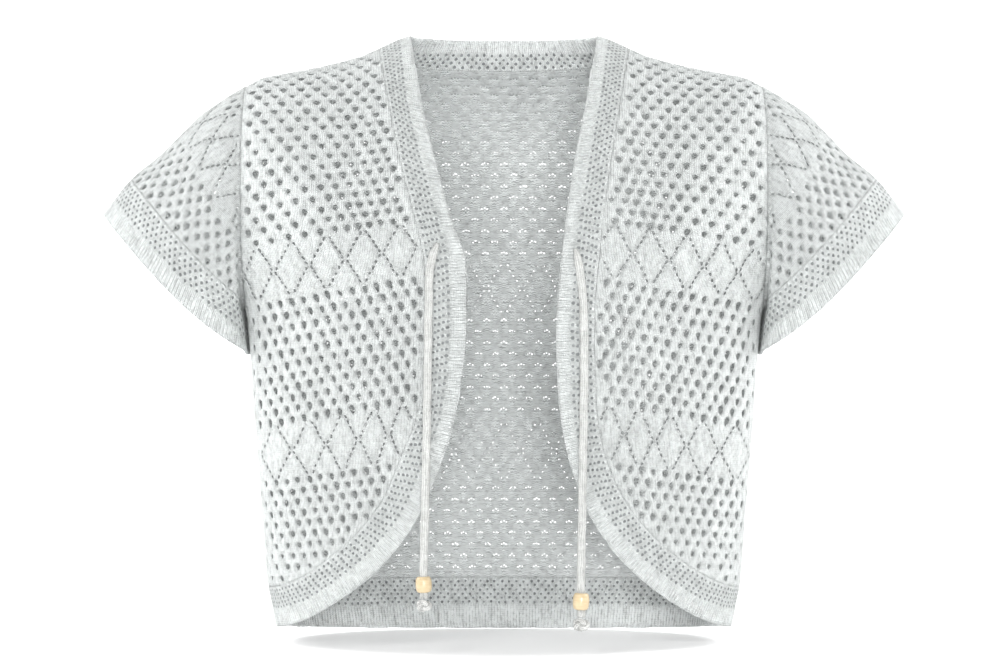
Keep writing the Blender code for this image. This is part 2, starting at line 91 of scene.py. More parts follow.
# Soft folds: middle, tilt from upright, half length, half width and rise (a trough is negative)
FOLDS = {
    (FRONT, RIGHT): (
        # x,   z, tilt, length, width, rise
        (150, -196, 58, 42, 11, -2.6),
        (158, -330, 6, 60, 15, 2.2),
        (128, -262, -12, 55, 14, -1.8),
        (112, -86, 24, 48, 13, -1.6),
    ),
    (FRONT, LEFT): (
        (156, -188, 52, 38, 12, -2.9),
        (150, -318, -5, 66, 16, 2.4),
        (120, -246, 14, 50, 13, -1.6),
        (118, -98, 30, 44, 14, -1.8),
    ),
    (BACK, RIGHT): (
        (148, -190, 50, 44, 13, -2.8),
        (92, -330, 4, 74, 18, 2.6),
        (40, -250, -6, 82, 17, -2.0),
    ),
    (BACK, LEFT): (
        (152, -196, 56, 40, 12, -2.6),
        (104, -318, -7, 70, 17, 2.4),
        (28, -352, 5, 60, 16, -1.8),
    ),
}
# Back neck band, from the shoulder line to the middle of the back
NECK_STATIONS = (
    # edge_x, edge_y, edge_z, seam_x, seam_z
    (70.0, 8.0, 0.0, 93.0, -9.0),
    (68.0, 25.0, 1.0, 86.0, -13.0),
    (60.0, 42.0, 1.8, 72.0, -17.0),
    (42.0, 55.0, 2.2, 50.0, -19.5),
    (21.0, 60.5, 2.4, 24.0, -20.5),
    (0.0, 62.0, 2.5, 0.0, -21.0),
)
HEM_SEAM_MIDDLE_Z = -414.0      # the back's hem seam dips in the middle


def smooth_step(share):
    share = min(max(share, 0.0), 1.0)
    return share * share * (3 - 2 * share)


def read_table(rows, key):
    """Read a table at a key in its first column, with a smooth curve through its rows."""
    rows = sorted(rows)
    key = min(max(key, rows[0][0]), rows[-1][0])
    low = max(i for i in range(len(rows) - 1) if rows[i][0] <= key)

    def slope(i, column):
        before, after = rows[max(i - 1, 0)], rows[min(i + 1, len(rows) - 1)]
        return (after[column] - before[column]) / (after[0] - before[0])

    step = rows[low + 1][0] - rows[low][0]
    t = (key - rows[low][0]) / step
    values = []
    for column in range(1, len(rows[0])):
        start, end = rows[low][column], rows[low + 1][column]
        values.append((2 * t**3 - 3 * t**2 + 1) * start
                      + (t**3 - 2 * t**2 + t) * step * slope(low, column)
                      + (3 * t**2 - 2 * t**3) * end
                      + (t**3 - t**2) * step * slope(low + 1, column))
    return values


def shoulder_z(x):
    return read_table(SHOULDER_LINE, abs(x))[0]


def fall_share(half, x, z):
    """How much of its full depth the cloth has, below the shoulder line."""
    outward = smooth_step((abs(x) - NECK_X) / (ARMHOLE_X - NECK_X))
    fall = NECK_FALL[half] + (ARM_FALL - NECK_FALL[half]) * outward
    rounding = NECK_ROUNDING + (ARM_ROUNDING - NECK_ROUNDING) * outward
    left_to_fall = 1 - min(max((shoulder_z(x) - z) / fall, 0.0), 1.0)
    return (1 - left_to_fall**2) ** rounding


def fold_rise(half, x, z):
    rise = 0.0
    for fold_x, fold_z, tilt, length, width, height in FOLDS[half, LEFT if x > 0 else RIGHT]:
        dx, dz = abs(x) - fold_x, z - fold_z
        lean = radians(tilt)
        across = dx * cos(lean) + dz * sin(lean)
        along = dz * cos(lean) - dx * sin(lean)
        rise += height * exp(-(across / width) ** 2 - (along / length) ** 2)
    return rise


def body_depth(half, x, z):
    """The y of the body cloth on its front or back half."""
    half_width, front_depth, back_depth = read_table(BODY_SECTIONS, z)
    depth = front_depth if half == FRONT else back_depth
    reach = min(abs(x) / half_width, 1.0)
    round_share = (1 - reach**SQUARENESS) ** (1 / SQUARENESS)
    middle = SHOULDER_Y * (1 - smooth_step(z / UNDERARM_Z))
    return middle + half * fall_share(half, x, z) * round_share * (
        depth + fold_rise(half, x, z))


def girth_angle(x, z):
    """The angle round the body section at which it is x wide of the middle."""
    half_width = read_table(BODY_SECTIONS, z)[0]
    return asin(min(abs(x) / half_width, 1.0) ** (SQUARENESS / 2))


def body_point(half, side, angle, z):
    half_width = read_table(BODY_SECTIONS, z)[0]
    x = side * half_width * sin(angle) ** (2 / SQUARENESS)
    return Vector((x, body_depth(half, x, z), z))


class Chart:
    """A cut piece's worn form, read by how far across and down the flat knitting a spot is."""

    def __init__(self, across, points):
        self.across, self.points = np.array(across), np.array(points)
        steps = np.linalg.norm(np.diff(self.points, axis=1), axis=2)
        self.down = np.concatenate([np.zeros((len(steps), 1)), steps.cumsum(1)], 1)
        spots = np.stack([self.across[1:-1:9], self.down[1:-1:9, steps.shape[1] // 2]], 1)
        out = self.place(spots) - self.inside(spots)
        self.facing = 1
        self.facing = 1 if (self.normals(spots) * out).sum() > 0 else -1

    def inside(self, spots):
        """A point of the hollow that the cloth goes round."""
        places = self.place(spots)
        if np.linalg.norm(self.points[0, 0] - self.points[-1, 0]) < 0.01:
            return np.repeat(self.points.mean((0, 1))[None], len(places), 0)
        return places * (0.55, 0, 1) - (0, 0, 40)

    def column(self, u):
        k = np.clip(np.searchsorted(self.across, u) - 1, 0, len(self.across) - 2)
        return k, (u - self.across[k]) / (self.across[k + 1] - self.across[k])

    def place(self, spots):
        places = []
        for part in np.array_split(spots, len(spots) // 4000 + 1):
            k, f = self.column(part[:, 0])
            f = f[:, None]
            down = self.down[k] * (1 - f) + self.down[k + 1] * f
            j = np.clip((down <= part[:, 1:]).sum(1) - 1, 0, down.shape[1] - 2)
            n = np.arange(len(part))
            g = ((part[:, 1] - down[n, j]) / (down[n, j + 1] - down[n, j]))[:, None]
            before = self.points[k, j] * (1 - f) + self.points[k + 1, j] * f
            after = self.points[k, j + 1] * (1 - f) + self.points[k + 1, j + 1] * f
            places.append(before * (1 - g) + after * g)
        return np.concatenate(places)

    def normals(self, spots):
        right = self.place(spots + (1.2, 0)) - self.place(spots - (1.2, 0))
        below = self.place(spots + (0, 1.2)) - self.place(spots - (0, 1.2))
        normals = np.cross(right, below) * self.facing
        return normals / np.linalg.norm(normals, axis=1)[:, None]

    def end(self, u, low):
        """How far down the chart starts, or ends, in a column."""
        k, f = self.column(u)
        edge = self.down[:, -1 if low else 0]
        return edge[k] * (1 - f) + edge[k + 1] * f


class BodyChart(Chart):
    """The front or back of the body, charted from angles round it and heights."""

    def __init__(self, half, first, last, columns, rows=121, low=-420.0, zero=-250.0):
        self.angles = np.linspace(first, last, columns)
        points = []
        for angle in self.angles:
            side, top = (LEFT if angle > 0 else RIGHT), -10.0
            for _ in range(8):
                width = read_table(BODY_SECTIONS, top)[0]
                top = shoulder_z(width * sin(abs(angle)) ** (2 / SQUARENESS))
            points.append([body_point(half, side, abs(angle), top + (low - top) * (m / (rows - 1)) ** 2)
                           for m in range(rows)])
        ring = np.array([body_point(half, LEFT if a > 0 else RIGHT, abs(a), zero)
                         for a in self.angles])
        step = np.diff(ring, axis=0)
        across = np.maximum(step[:, 0], 0.6 * np.hypot(step[:, 0], step[:, 1]))
        across = np.concatenate([[0], across.cumsum()])
        middle = int(np.abs(self.angles).argmin())
        super().__init__(across - across[middle] + ring[middle, 0], points)
        for k in range(columns):
            self.down[k] += -zero - np.interp(-zero, -self.points[k, :, 2], self.down[k])

    def spot(self, angle, z):
        u = np.interp(angle, self.angles, self.across)
        k, f = self.column(u)
        heights = self.points[k, :, 2] * (1 - f) + self.points[k + 1, :, 2] * f
        down = self.down[k] * (1 - f) + self.down[k + 1] * f
        return u, np.interp(-z, -heights, down)

    def spot_at(self, x, z):
        return self.spot(girth_angle(x, z) * (LEFT if x > 0 else RIGHT), z)


def spaced(line, step):
    """The same line of spots with its points a step apart or a little less."""
    line = np.array(line)
    lengths = np.concatenate([[0], np.linalg.norm(np.diff(line, axis=0), axis=1).cumsum()])
    even = np.linspace(0, lengths[-1], max(int(np.ceil(lengths[-1] / step)), 1) + 1)
    return np.stack([np.interp(even, lengths, line[:, i]) for i in (0, 1)], 1)


def closed_outline(lines, step):
    """A piece's cut edge, from the lines of spots that follow each other round it."""
    return np.concatenate([spaced(line, step)[:-1] for line in lines])


def teardrop(hole, count):
    """A hole's edge: wide at the top and drawn to a point below."""
    u, v, half_width, half_height, lean = hole[:5]
    turn = 2 * pi * (np.arange(count) + 0.5) / count
    x = half_width * np.cos(turn) * np.abs(np.cos(turn)) ** 0.3 * (1.05 - 0.22 * np.sin(turn))
    y = half_height * np.sin(turn) * (1 + 0.12 * np.sin(turn))
    return np.stack([u + x * cos(lean) - y * sin(lean), v + y * cos(lean) + x * sin(lean)], 1)


def inside_line(spots, outline):
    """Which spots a closed outline goes round."""
    found = np.zeros(len(spots), bool)
    for (ax, ay), (bx, by) in zip(outline, np.roll(outline, -1, 0)):
        if ay != by:
            crosses = (ay > spots[:, 1]) != (by > spots[:, 1])
            found ^= crosses & (spots[:, 0] < (bx - ax) * (spots[:, 1] - ay) / (by - ay) + ax)
    return found


def nearest_to(line, spots):
    tree = KDTree(len(line))
    for i, (u, v) in enumerate(line):
        tree.insert((u, v, 0), i)
    tree.balance()
    return np.array([tree.find((u, v, 0))[2] for u, v in spots])


def even_fill(outline, spacing):
    """Spots in staggered rows all over a piece."""
    low, high = outline.min(0), outline.max(0)
    rows = np.arange(low[1], high[1], spacing * 0.87)
    return np.array([(u + spacing / 2 * (i % 2), v) for i, v in enumerate(rows)
                     for u in np.arange(low[0], high[0], spacing)])


def crease_rise(creases, spots):
    """Soft ridges and troughs: across, down, lean, half length, half width and rise."""
    rise = np.zeros(len(spots))
    for u, v, lean, length, width, height in creases:
        du, dv = spots[:, 0] - u, spots[:, 1] - v
        across = du * cos(radians(lean)) + dv * sin(radians(lean))
        along = dv * cos(radians(lean)) - du * sin(radians(lean))
        rise += height * np.exp(-(across / width) ** 2 - (along / length) ** 2)
    return rise


FULL, ROUNDED, THINNED, OPEN = 1.0, 0.9, 0.5, 0.0     # how full the wall is at a spot
DRAWN_IN = 0.1            # how near a hole's middle the stitches at its rim were knitted
DENT = 0.7                # the floor of a blind eyelet, as a share of its rim


def edge_rings(outline, holes, loop, small, double):
    """The edge of a piece and the rims of its holes: the spots, where they were before the holes
    drew them open, how full the wall is there, the hole each belongs to and the edges."""
    spots, knitted_at, fullness = [outline], [outline], [np.full(len(outline), FULL)]
    owner = [-1] * len(outline)
    count = len(outline)
    edges = [(i, (i + 1) % count) for i in range(count)]
    for number, hole in enumerate(holes):
        points = loop if hole[5] else small
        centre = np.array(hole[:2])
        rim = teardrop(hole, points)
        edges += [(count + i, count + (i + 1) % points) for i in range(points)]
        rings = [(rim, OPEN if hole[5] else ROUNDED if double else THINNED)]
        if double:
            rings.append((centre + (rim - centre) * DENT, OPEN))
        for ring, full in rings:
            spots.append(ring)
            knitted_at.append(centre + (rim - centre) * DRAWN_IN)
            fullness.append(np.full(points, full))
            owner += [number] * points
            count += points
    return np.concatenate(spots), np.concatenate(knitted_at), np.concatenate(fullness), owner, edges


def yarn_rings(outline, holes, rims, loop):
    """Spots along the yarn that goes round each large hole."""
    rings = [teardrop((*hole[:2], hole[2] + 1.35, hole[3] + 1.3, hole[4]), loop)
             for hole in holes if hole[5]]
    spots = np.concatenate(rings) if rings else np.zeros((0, 2))
    return spots[inside_line(spots, outline) & (nearest_to(rims, spots) > 0.62)]


def clear_fill(outline, holes, taken, fill):
    """The fill spots that lie inside a piece, off its edges and off its holes."""
    fill = fill[inside_line(fill, outline)]
    fill = fill[nearest_to(taken, fill) > 1.25]
    gone = np.zeros(len(fill), bool)
    for u, v, half_width, half_height in (hole[:4] for hole in holes):
        gone |= ((fill[:, 0] - u) / half_width) ** 2 + ((fill[:, 1] - v) / half_height) ** 2 < 1.1
    return fill[~gone]


def cloth_faces(outline, spots, edges, owner, facing, double):
    """Triangles over the cloth, facing out. Holes stay open, unless the cloth is double."""
    _, _, faces, first, _, _ = delaunay_2d_cdt([Vector(spot) for spot in spots], edges, [], 0, 1e-5)
    first = np.array([group[0] if group else -1 for group in first])
    faces = first[np.array(faces)]
    faces = faces[(faces >= 0).all(1)]
    if not double:
        in_hole = (owner[faces[:, 0]] >= 0) & (owner[faces] == owner[faces[:, :1]]).all(1)
        faces = faces[~in_hole]
    faces = faces[inside_line(spots[faces].mean(1), outline)]
    a, b, c = spots[faces[:, 0]], spots[faces[:, 1]], spots[faces[:, 2]]
    turn = (b[:, 0] - a[:, 0]) * (c[:, 1] - a[:, 1]) - (b[:, 1] - a[:, 1]) * (c[:, 0] - a[:, 0])
    faces = faces[np.abs(turn) > 1e-4]
    turn = turn[np.abs(turn) > 1e-4]
    flip = turn * facing < 0
    faces[flip] = faces[flip][:, ::-1]
    return faces


def sew_ends(mesh, spots, cut):
    """Join the two ends of a piece that goes round."""
    sewn = bmesh.new()
    sewn.from_mesh(mesh)
    ends = [v for v, spot in zip(sewn.verts, spots) if min(spot[0], cut - spot[0]) < 0.01]
    bmesh.ops.remove_doubles(sewn, verts=ends, dist=0.06 * MM)
    sewn.to_mesh(mesh)
    sewn.free()


def shade_hole_walls(mesh):
    """Give the painted shade, a dark copy of the yarn, to the faces whose corners all belong to one
    hole.
    """
    owner = np.empty(len(mesh.vertices), np.int32)
    mesh.attributes["hole"].data.foreach_get("value", owner)
    corner, start = np.empty(len(mesh.loops), np.int32), np.empty(len(mesh.polygons), np.int32)
    mesh.loops.foreach_get("vertex_index", corner)
    mesh.polygons.foreach_get("loop_start", start)
    material = np.empty(len(mesh.polygons), np.int32)
    mesh.polygons.foreach_get("material_index", material)
    least, most = (limit.reduceat(owner[corner], start) for limit in (np.minimum, np.maximum))
    material[(least >= 0) & (least == most)] = 2
    mesh.polygons.foreach_set("material_index", material)
    mesh.attributes.remove(mesh.attributes["hole"])


def knitted(name, chart, outline, holes, fill, wall, finish, wale=2.2, course=1.6, creases=(),
            ridge=None, loop=10, small=6, double=False, cut=None):
    """A knitted piece: open holes in a thin wall, drawn in at their rims, with its stitches' own
    map. Holes are across, down, half width, half height, lean and True where large. The finish
    is the outside's, the inside's and the holes' material, the last a dark copy of the yarn that
    paints shade on the walls inside the holes; cut is how far a piece goes round."""
    sizes = np.array([max(hole[2:4]) for hole in holes])
    centres = np.array([hole[:2] for hole in holes])
    fine = np.concatenate([spaced([a, b], 1.0)[:-1]
                           for a, b in zip(outline, np.roll(outline, -1, 0))])
    clear = inside_line(centres, outline) & (nearest_to(fine, centres) > sizes + 0.7)
    if cut:
        clear &= (centres[:, 0] > sizes + 0.6) & (centres[:, 0] < cut - sizes - 0.6)
    holes = [hole for hole, good in zip(holes, clear) if good]

    spots, knitted_at, fullness, owner, edges = edge_rings(outline, holes, loop, small, double)
    yarn = yarn_rings(outline, holes, spots, loop)
    fill = clear_fill(outline, holes, np.concatenate([spots, yarn]), fill)
    spots = np.concatenate([spots, yarn, fill])
    knitted_at = np.concatenate([knitted_at, yarn, fill])
    fullness = np.concatenate([fullness, np.full(len(yarn), ROUNDED), np.full(len(fill), FULL)])
    owner = np.array(owner + [-1] * (len(yarn) + len(fill)))
    faces = cloth_faces(outline, spots, edges, owner, chart.facing, double)

    rise = crease_rise(creases, spots)
    if not double:
        rise += np.where(fullness == OPEN, -0.35, 0.0) + np.where(fullness == ROUNDED, 0.32, 0.0)
    if ridge:
        rise += ridge(spots)
    points = (chart.place(spots) + chart.normals(spots) * rise[:, None]) * MM

    mesh = bpy.data.meshes.new(name)
    mesh.from_pydata(points.tolist(), [], faces.tolist())
    stitches = mesh.uv_layers.new(name="knit")
    corner = np.empty(len(mesh.loops), np.int32)
    mesh.loops.foreach_get("vertex_index", corner)
    stitches.data.foreach_set("uv", (knitted_at / (wale, course))[corner].astype(np.float32).ravel())
    mesh.attributes.new("hole", "INT", "POINT").data.foreach_set("value", owner.astype(np.int32))
    piece = bpy.data.objects.new(name, mesh)
    bpy.context.scene.collection.objects.link(piece)
    group = piece.vertex_groups.new(name="wall")
    for level in np.unique(fullness):
        group.add(np.flatnonzero(fullness == level).tolist(), float(level), "REPLACE")
    if cut:
        sew_ends(mesh, spots, cut)
    for one in finish:
        mesh.materials.append(one)
    thick = piece.modifiers.new("thick", "SOLIDIFY")
    thick.thickness = wall * MM
    thick.offset = 0
    thick.vertex_group = "wall"
    thick.thickness_vertex_group = 0.12 if double else 0.5
    thick.material_offset = 1
    bpy.ops.object.select_all(action="DESELECT")
    bpy.context.view_layer.objects.active = piece
    piece.select_set(True)
    bpy.ops.object.modifier_apply(modifier="thick")
    shade_hole_walls(mesh)
    mesh.shade_smooth()
    print(name, len(holes), "holes", sum(len(p.vertices) - 2 for p in mesh.polygons), "triangles")
    return piece


def stand_for(piece, node):
    """The piece takes its node's place on the one body."""
    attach(piece, "root")
    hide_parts(node)


def node_of(tree, kind, inputs=None, **settings):
    node = tree.nodes.new(kind)
    for key, value in settings.items():
        setattr(node, key, value)
    for key, value in (inputs or {}).items():
        if isinstance(value, bpy.types.NodeSocket):
            tree.links.new(value, node.inputs[key])
        else:
            node.inputs[key].default_value = value
    return node


def maths(tree, operation, first, second=0.0, third=0.0):
    inputs = {0: first, 1: second, 2: third}
    return node_of(tree, "ShaderNodeMath", inputs, operation=operation).outputs[0]


def noise(tree, place, scale, detail=2.0):
    inputs = {"Vector": place, "Scale": scale, "Detail": detail}
    return node_of(tree, "ShaderNodeTexNoise", inputs).outputs["Fac"]


def blend(tree, share, first, second, **settings):
    inputs = {0: share, 6: (*first, 1), 7: (*second, 1)}
    return node_of(tree, "ShaderNodeMix", inputs, data_type="RGBA", **settings).outputs[2]


def plain_stitches(tree, wales, courses):
    """Columns of small vees: how high the yarn stands, 0 to 1."""
    across = maths(tree, "SUBTRACT", maths(tree, "FRACT", wales), 0.5)
    across = maths(tree, "MULTIPLY", maths(tree, "ABSOLUTE", across), 2.0)
    legs = maths(tree, "SINE", maths(tree, "MULTIPLY", across, pi))
    phase = maths(tree, "MULTIPLY_ADD", across, -0.6, courses)
    wave = maths(tree, "COSINE", maths(tree, "MULTIPLY", phase, 2 * pi))
    wave = maths(tree, "MULTIPLY_ADD", wave, 0.5, 0.5)
    return maths(tree, "MULTIPLY", legs, maths(tree, "MULTIPLY_ADD", wave, 0.5, 0.5))


PULL_WALES, PULL_COURSES = 6.0, 5.5     # stitches and rows between the holes that pull the rows


def purl_stitches(tree, wales, courses):
    """The wrong side: rows of small arcs, pulled up over each hole."""
    arc = maths(tree, "COSINE", maths(tree, "MULTIPLY", wales, 2 * pi))
    row = maths(tree, "MULTIPLY_ADD", arc, 0.22, courses)
    pull = maths(tree, "COSINE", maths(tree, "MULTIPLY", wales, 2 * pi / PULL_WALES))
    turn = maths(tree, "COSINE", maths(tree, "MULTIPLY", courses, pi / PULL_COURSES))
    pull = maths(tree, "MULTIPLY", pull, turn)
    row = maths(tree, "MULTIPLY_ADD", pull, 0.9, row)
    knot = maths(tree, "POWER", maths(tree, "MAXIMUM", pull, 0.0), 5.0)
    yarn = maths(tree, "ABSOLUTE", maths(tree, "SINE", maths(tree, "MULTIPLY", row, pi)))
    return maths(tree, "MULTIPLY_ADD", knot, 0.45, yarn)


def yarn_material(name, colour, stitches, shade=0.5, bump=1.0, strands=(0.65, 0.15)):
    """Yarn that takes its stitches from the piece's own map and its mottling from the piece,
    with painted shade in the valleys between the stitches and painted light on their tops.
    """
    made = bpy.data.materials.new(name)
    made.use_nodes = True
    tree = made.node_tree
    shader = tree.nodes["Principled BSDF"]
    stitch_map = node_of(tree, "ShaderNodeUVMap", uv_map="knit")
    parts = node_of(tree, "ShaderNodeSeparateXYZ", {0: stitch_map.outputs[0]})
    place = node_of(tree, "ShaderNodeTexCoord").outputs["Object"]
    wander = maths(tree, "SUBTRACT", noise(tree, place, 95.0, 3.0), 0.5)
    wales = maths(tree, "MULTIPLY_ADD", wander, 0.55, parts.outputs[0])
    courses = maths(tree, "MULTIPLY_ADD", wander, 0.8, parts.outputs[1])
    height = stitches(tree, wales, courses)
    along_yarn = node_of(tree, "ShaderNodeMapping", {"Vector": stitch_map.outputs[0],
                                                     "Scale": (*strands, 1)}).outputs[0]
    fuzz, knots = noise(tree, place, 2600.0), noise(tree, place, 400.0)
    strand = noise(tree, along_yarn, 1.0, 2.5)
    for relief, strength in ((fuzz, 0.8), (knots, 1.4), (strand, 1.7)):
        height = maths(tree, "MULTIPLY_ADD", maths(tree, "SUBTRACT", relief, 0.5), strength, height)
    # Painted shade and light: the colour darkens in the valleys between the stitches and the yarn's
    # strands and lightens on their tops; the noise mixed in is a real tone that differs at random.
    light = maths(tree, "MULTIPLY_ADD", height, shade, 0.96 - shade * 0.5)
    light = maths(tree, "MINIMUM", maths(tree, "MAXIMUM", light, 0.3), 1.1)
    broad = maths(tree, "MULTIPLY_ADD", noise(tree, place, 22.0), 0.14, 0.93)
    light = maths(tree, "MULTIPLY", light, broad)
    shade_colour = tuple(value * 0.01 for value in colour)
    mixed = blend(tree, light, shade_colour, colour, clamp_factor=False)
    tree.links.new(mixed, shader.inputs["Base Color"])
    bumped = node_of(tree, "ShaderNodeBump",
                     {"Height": height, "Strength": 1.0, "Distance": bump * MM})
    tree.links.new(bumped.outputs[0], shader.inputs["Normal"])
    shader.inputs["Roughness"].default_value = 0.78
    shader.inputs["Specular IOR Level"].default_value = 0.3
    shader.inputs["Sheen Weight"].default_value = 0.15
    shader.inputs["Sheen Roughness"].default_value = 0.5
    return made


LACE_COLOUR = (0.70, 0.73, 0.722)
# Painted light: the inside of every piece takes a lighter copy of the same yarn, standing for more light
# reaching in.
LIT_INSIDE_COLOUR = (0.87, 0.90, 0.895)
# Painted shade: the walls inside every hole take a dark copy of the yarn, standing for the shade there.
LACE_HOLE_SHADE = (0.36, 0.38, 0.38)      # the shaded yarn inside a hole
lace_face = yarn_material("lace_plain_side", LACE_COLOUR, plain_stitches)
lace_back = yarn_material("lace_wrong_side_painted_light", LIT_INSIDE_COLOUR, purl_stitches, shade=0.75,
                          strands=(0.3, 0.7))
lace_hole_shade = yarn_material("lace_hole_painted_shade", LACE_HOLE_SHADE, plain_stitches, shade=0.3)
LACE_FINISH = (lace_face, lace_back, lace_hole_shade)


def uneven_hole(chance, u, v, half_width, half_height, large, lean=0.0):
    """No two holes of a knitted lace are drawn open quite alike."""
    size = chance.uniform(0.86, 1.14)
    return (u + chance.uniform(-0.45, 0.45), v + chance.uniform(-0.4, 0.4),
            half_width * size * chance.uniform(0.92, 1.08),
            half_height * size * chance.uniform(0.9, 1.1),
            lean + chance.uniform(-0.16, 0.16), large)


def diamond_slits(chance, rhombs, level, half_height, drop, size=1.0):
    """The small slits along the four edges of each diamond: its middle and its two corners."""
    slits = []
    for middle, left, right in rhombs:
        for share in (0, 1, 2, 3, 4):
            for up in (-1, 1):
                for side, corner in ((-1, left), (1, right)):
                    reach = abs(corner - middle)
                    u = middle + side * (2.4 + (reach - 4.3) * share / 4.0)
                    v = level + up * (half_height - 1.6) * (1 - share / 4.45) + drop(u)
                    slits.append(uneven_hole(chance, u, v, 0.85 * size, 1.5 * size, False,
                                             side * up * 0.42))
    return slits


BACK_WALL, BACK_WALE, BACK_COURSE = 1.5, 2.23, 1.6
BACK_PITCH, BACK_ROW = 13.4, 8.8
BACK_CLUSTER = ((-1.9, 0.5), (0.0, -0.3), (1.9, 0.5))     # three small holes under each pulled row
BACK_SLIT, BACK_RHOMB = 0.52, 26.8                       # the slits' size and a diamond's width
BACK_BANDS = ((187.5, 19.5), (315.5, 22.5))     # middle and half height of each diamond band
BACK_CREASES = (
    # across, down, lean, half length, half width, rise
    (-118, 168, 38, 46, 9, -1.4),
    (126, 160, -42, 40, 10, -1.6),
    (-60, 372, 8, 44, 14, 1.1),
    (72, 356, -6, 52, 12, 1.3),
    (6, 300, 3, 60, 16, -0.9),
    (140, 330, -10, 48, 11, -1.0),
    (-150, 300, 12, 56, 12, -1.1),
    (30, 96, 70, 36, 8, -0.8),
)

back_chart = BodyChart(BACK, -pi / 2, pi / 2, 141)
neck_rows = [(i, *row) for i, row in enumerate(NECK_STATIONS)]
back_neck = []
for i in range(-20, 21):
    _, _, _, seam_x, seam_z = read_table(neck_rows, 5 * (1 - abs(i) / 20))
    back_neck.append(back_chart.spot_at(seam_x * (1 if i > 0 else -1) if i else 0.001, seam_z))


def shoulder_spots(chart, start, end):
    """The shoulder seam between two distances from the neck."""
    return [chart.spot_at(x, shoulder_z(x) + 0.4) for x in np.linspace(start, end, 24)]


def armhole_spots(chart, side):
    """The armhole from the shoulder down to the underarm."""
    top = shoulder_z(ARMHOLE_X)
    heights = [(top + UNDERARM_Z) / 2 + (top - UNDERARM_Z) / 2 * cos(pi * i / 40) for i in range(41)]
    return [chart.spot_at(side * ARMHOLE_X, z) for z in heights]


def side_spots(chart, side):
    return [chart.spot(side * pi / 2, z) for z in np.linspace(UNDERARM_Z, SIDE_HEM_SEAM_Z, 30)]


back_hem = [back_chart.spot(across * pi / 2, SIDE_HEM_SEAM_Z + (HEM_SEAM_MIDDLE_Z - SIDE_HEM_SEAM_Z)
                            * (1 - across ** 2)) for across in np.linspace(1, -1, 61)]
back_outline = closed_outline([
    back_neck, shoulder_spots(back_chart, 93, 193), armhole_spots(back_chart, LEFT),
    side_spots(back_chart, LEFT), back_hem, side_spots(back_chart, RIGHT)[::-1],
    armhole_spots(back_chart, RIGHT)[::-1], shoulder_spots(back_chart, -193, -93)], 3.0)

chance = np.random.default_rng(11)
back_holes = []
for row in range(-24, 48):
    v = BACK_BANDS[0][0] + 24.5 + (row - 12) * BACK_ROW
    if any(abs(v - middle) < half + 3.5 for middle, half in BACK_BANDS):
        continue
    for column in range(-17, 18):
        u = (column + 0.5 * (row % 2)) * BACK_PITCH
        for du, dv in BACK_CLUSTER:
            back_holes.append(uneven_hole(chance, u + du, v + dv, 0.66, 0.62, False))
for middle, half in BACK_BANDS:
    rhombs = [(c * BACK_RHOMB, (c - 0.5) * BACK_RHOMB, (c + 0.5) * BACK_RHOMB) for c in range(-8, 9)]
    back_holes += diamond_slits(chance, rhombs, middle, half, lambda u: 0.0, BACK_SLIT)
back = knitted("back_lace", back_chart, back_outline, back_holes, even_fill(back_outline, 4.2),
               BACK_WALL, LACE_FINISH, BACK_WALE, BACK_COURSE, BACK_CREASES, small=5)
stand_for(back, "back")

# ---- Fronts -----------------------------------------------------------------------------
# Two panels in the same lace, curved from the shoulder out to the side seam along their front
# bands. The holes close up towards the band and the hem, and their rows sink to the sides.

# The free edge of each front band and its seam to the front, from the shoulder down
BAND_STATIONS = {
    RIGHT: (
        # edge_x, edge_z, seam_x, seam_z
        (70.0, 0.0, 93.0, -9.0),
        (59.0, -59.0, 84.0, -53.0),
        (48.0, -104.0, 74.0, -100.0),
        (37.5, -141.0, 64.0, -138.0),
        (27.5, -170.0, 56.5, -172.0),
        (26.6, -200.0, 55.0, -202.0),
        (27.7, -236.0, 56.0, -236.0),
        (35.0, -284.0, 61.0, -279.0),
        (46.0, -319.0, 72.0, -308.0),
        (62.0, -356.0, 86.0, -341.0),
        (83.0, -385.5, 103.0, -364.0),
        (106.0, -407.0, 122.0, -382.0),
        (132.0, -424.5, 145.0, -399.5),
        (153.0, -436.0, 163.0, -408.0),
        (169.5, -441.5, 174.5, -411.2),
    ),
    LEFT: (
        (70.0, 0.0, 93.0, -9.0),
        (60.5, -50.0, 85.5, -48.0),
        (50.0, -104.0, 76.5, -100.0),
        (44.2, -142.0, 70.5, -142.0),
        (41.0, -169.0, 67.5, -171.0),
        (38.3, -198.0, 64.8, -200.0),
        (37.3, -240.0, 64.3, -238.0),
        (41.0, -288.0, 66.5, -283.0),
        (50.5, -326.0, 74.0, -316.0),
        (63.0, -357.0, 86.0, -342.0),
        (82.0, -383.5, 102.5, -364.0),
        (104.0, -405.0, 120.5, -381.5),
        (131.0, -424.0, 144.0, -398.5),
        (152.0, -435.5, 162.0, -407.5),
        (169.5, -441.5, 174.5, -411.2),
    ),
}
FRONT_WALL = 1.5
UPPER_ROW, MIDDLE_ROW, LOWER_ROW = 8.1, 8.5, 8.3       # rows of holes above, between and below
MIDDLE_PITCH, LOWER_PITCH = 8.95, 8.5                  # the diamonds, and holes along a row
ROW_DROPS = ((30, 0.10), (165, 0.145), (230, 0.21), (300, 0.17), (380, 0.13))  # down, slope
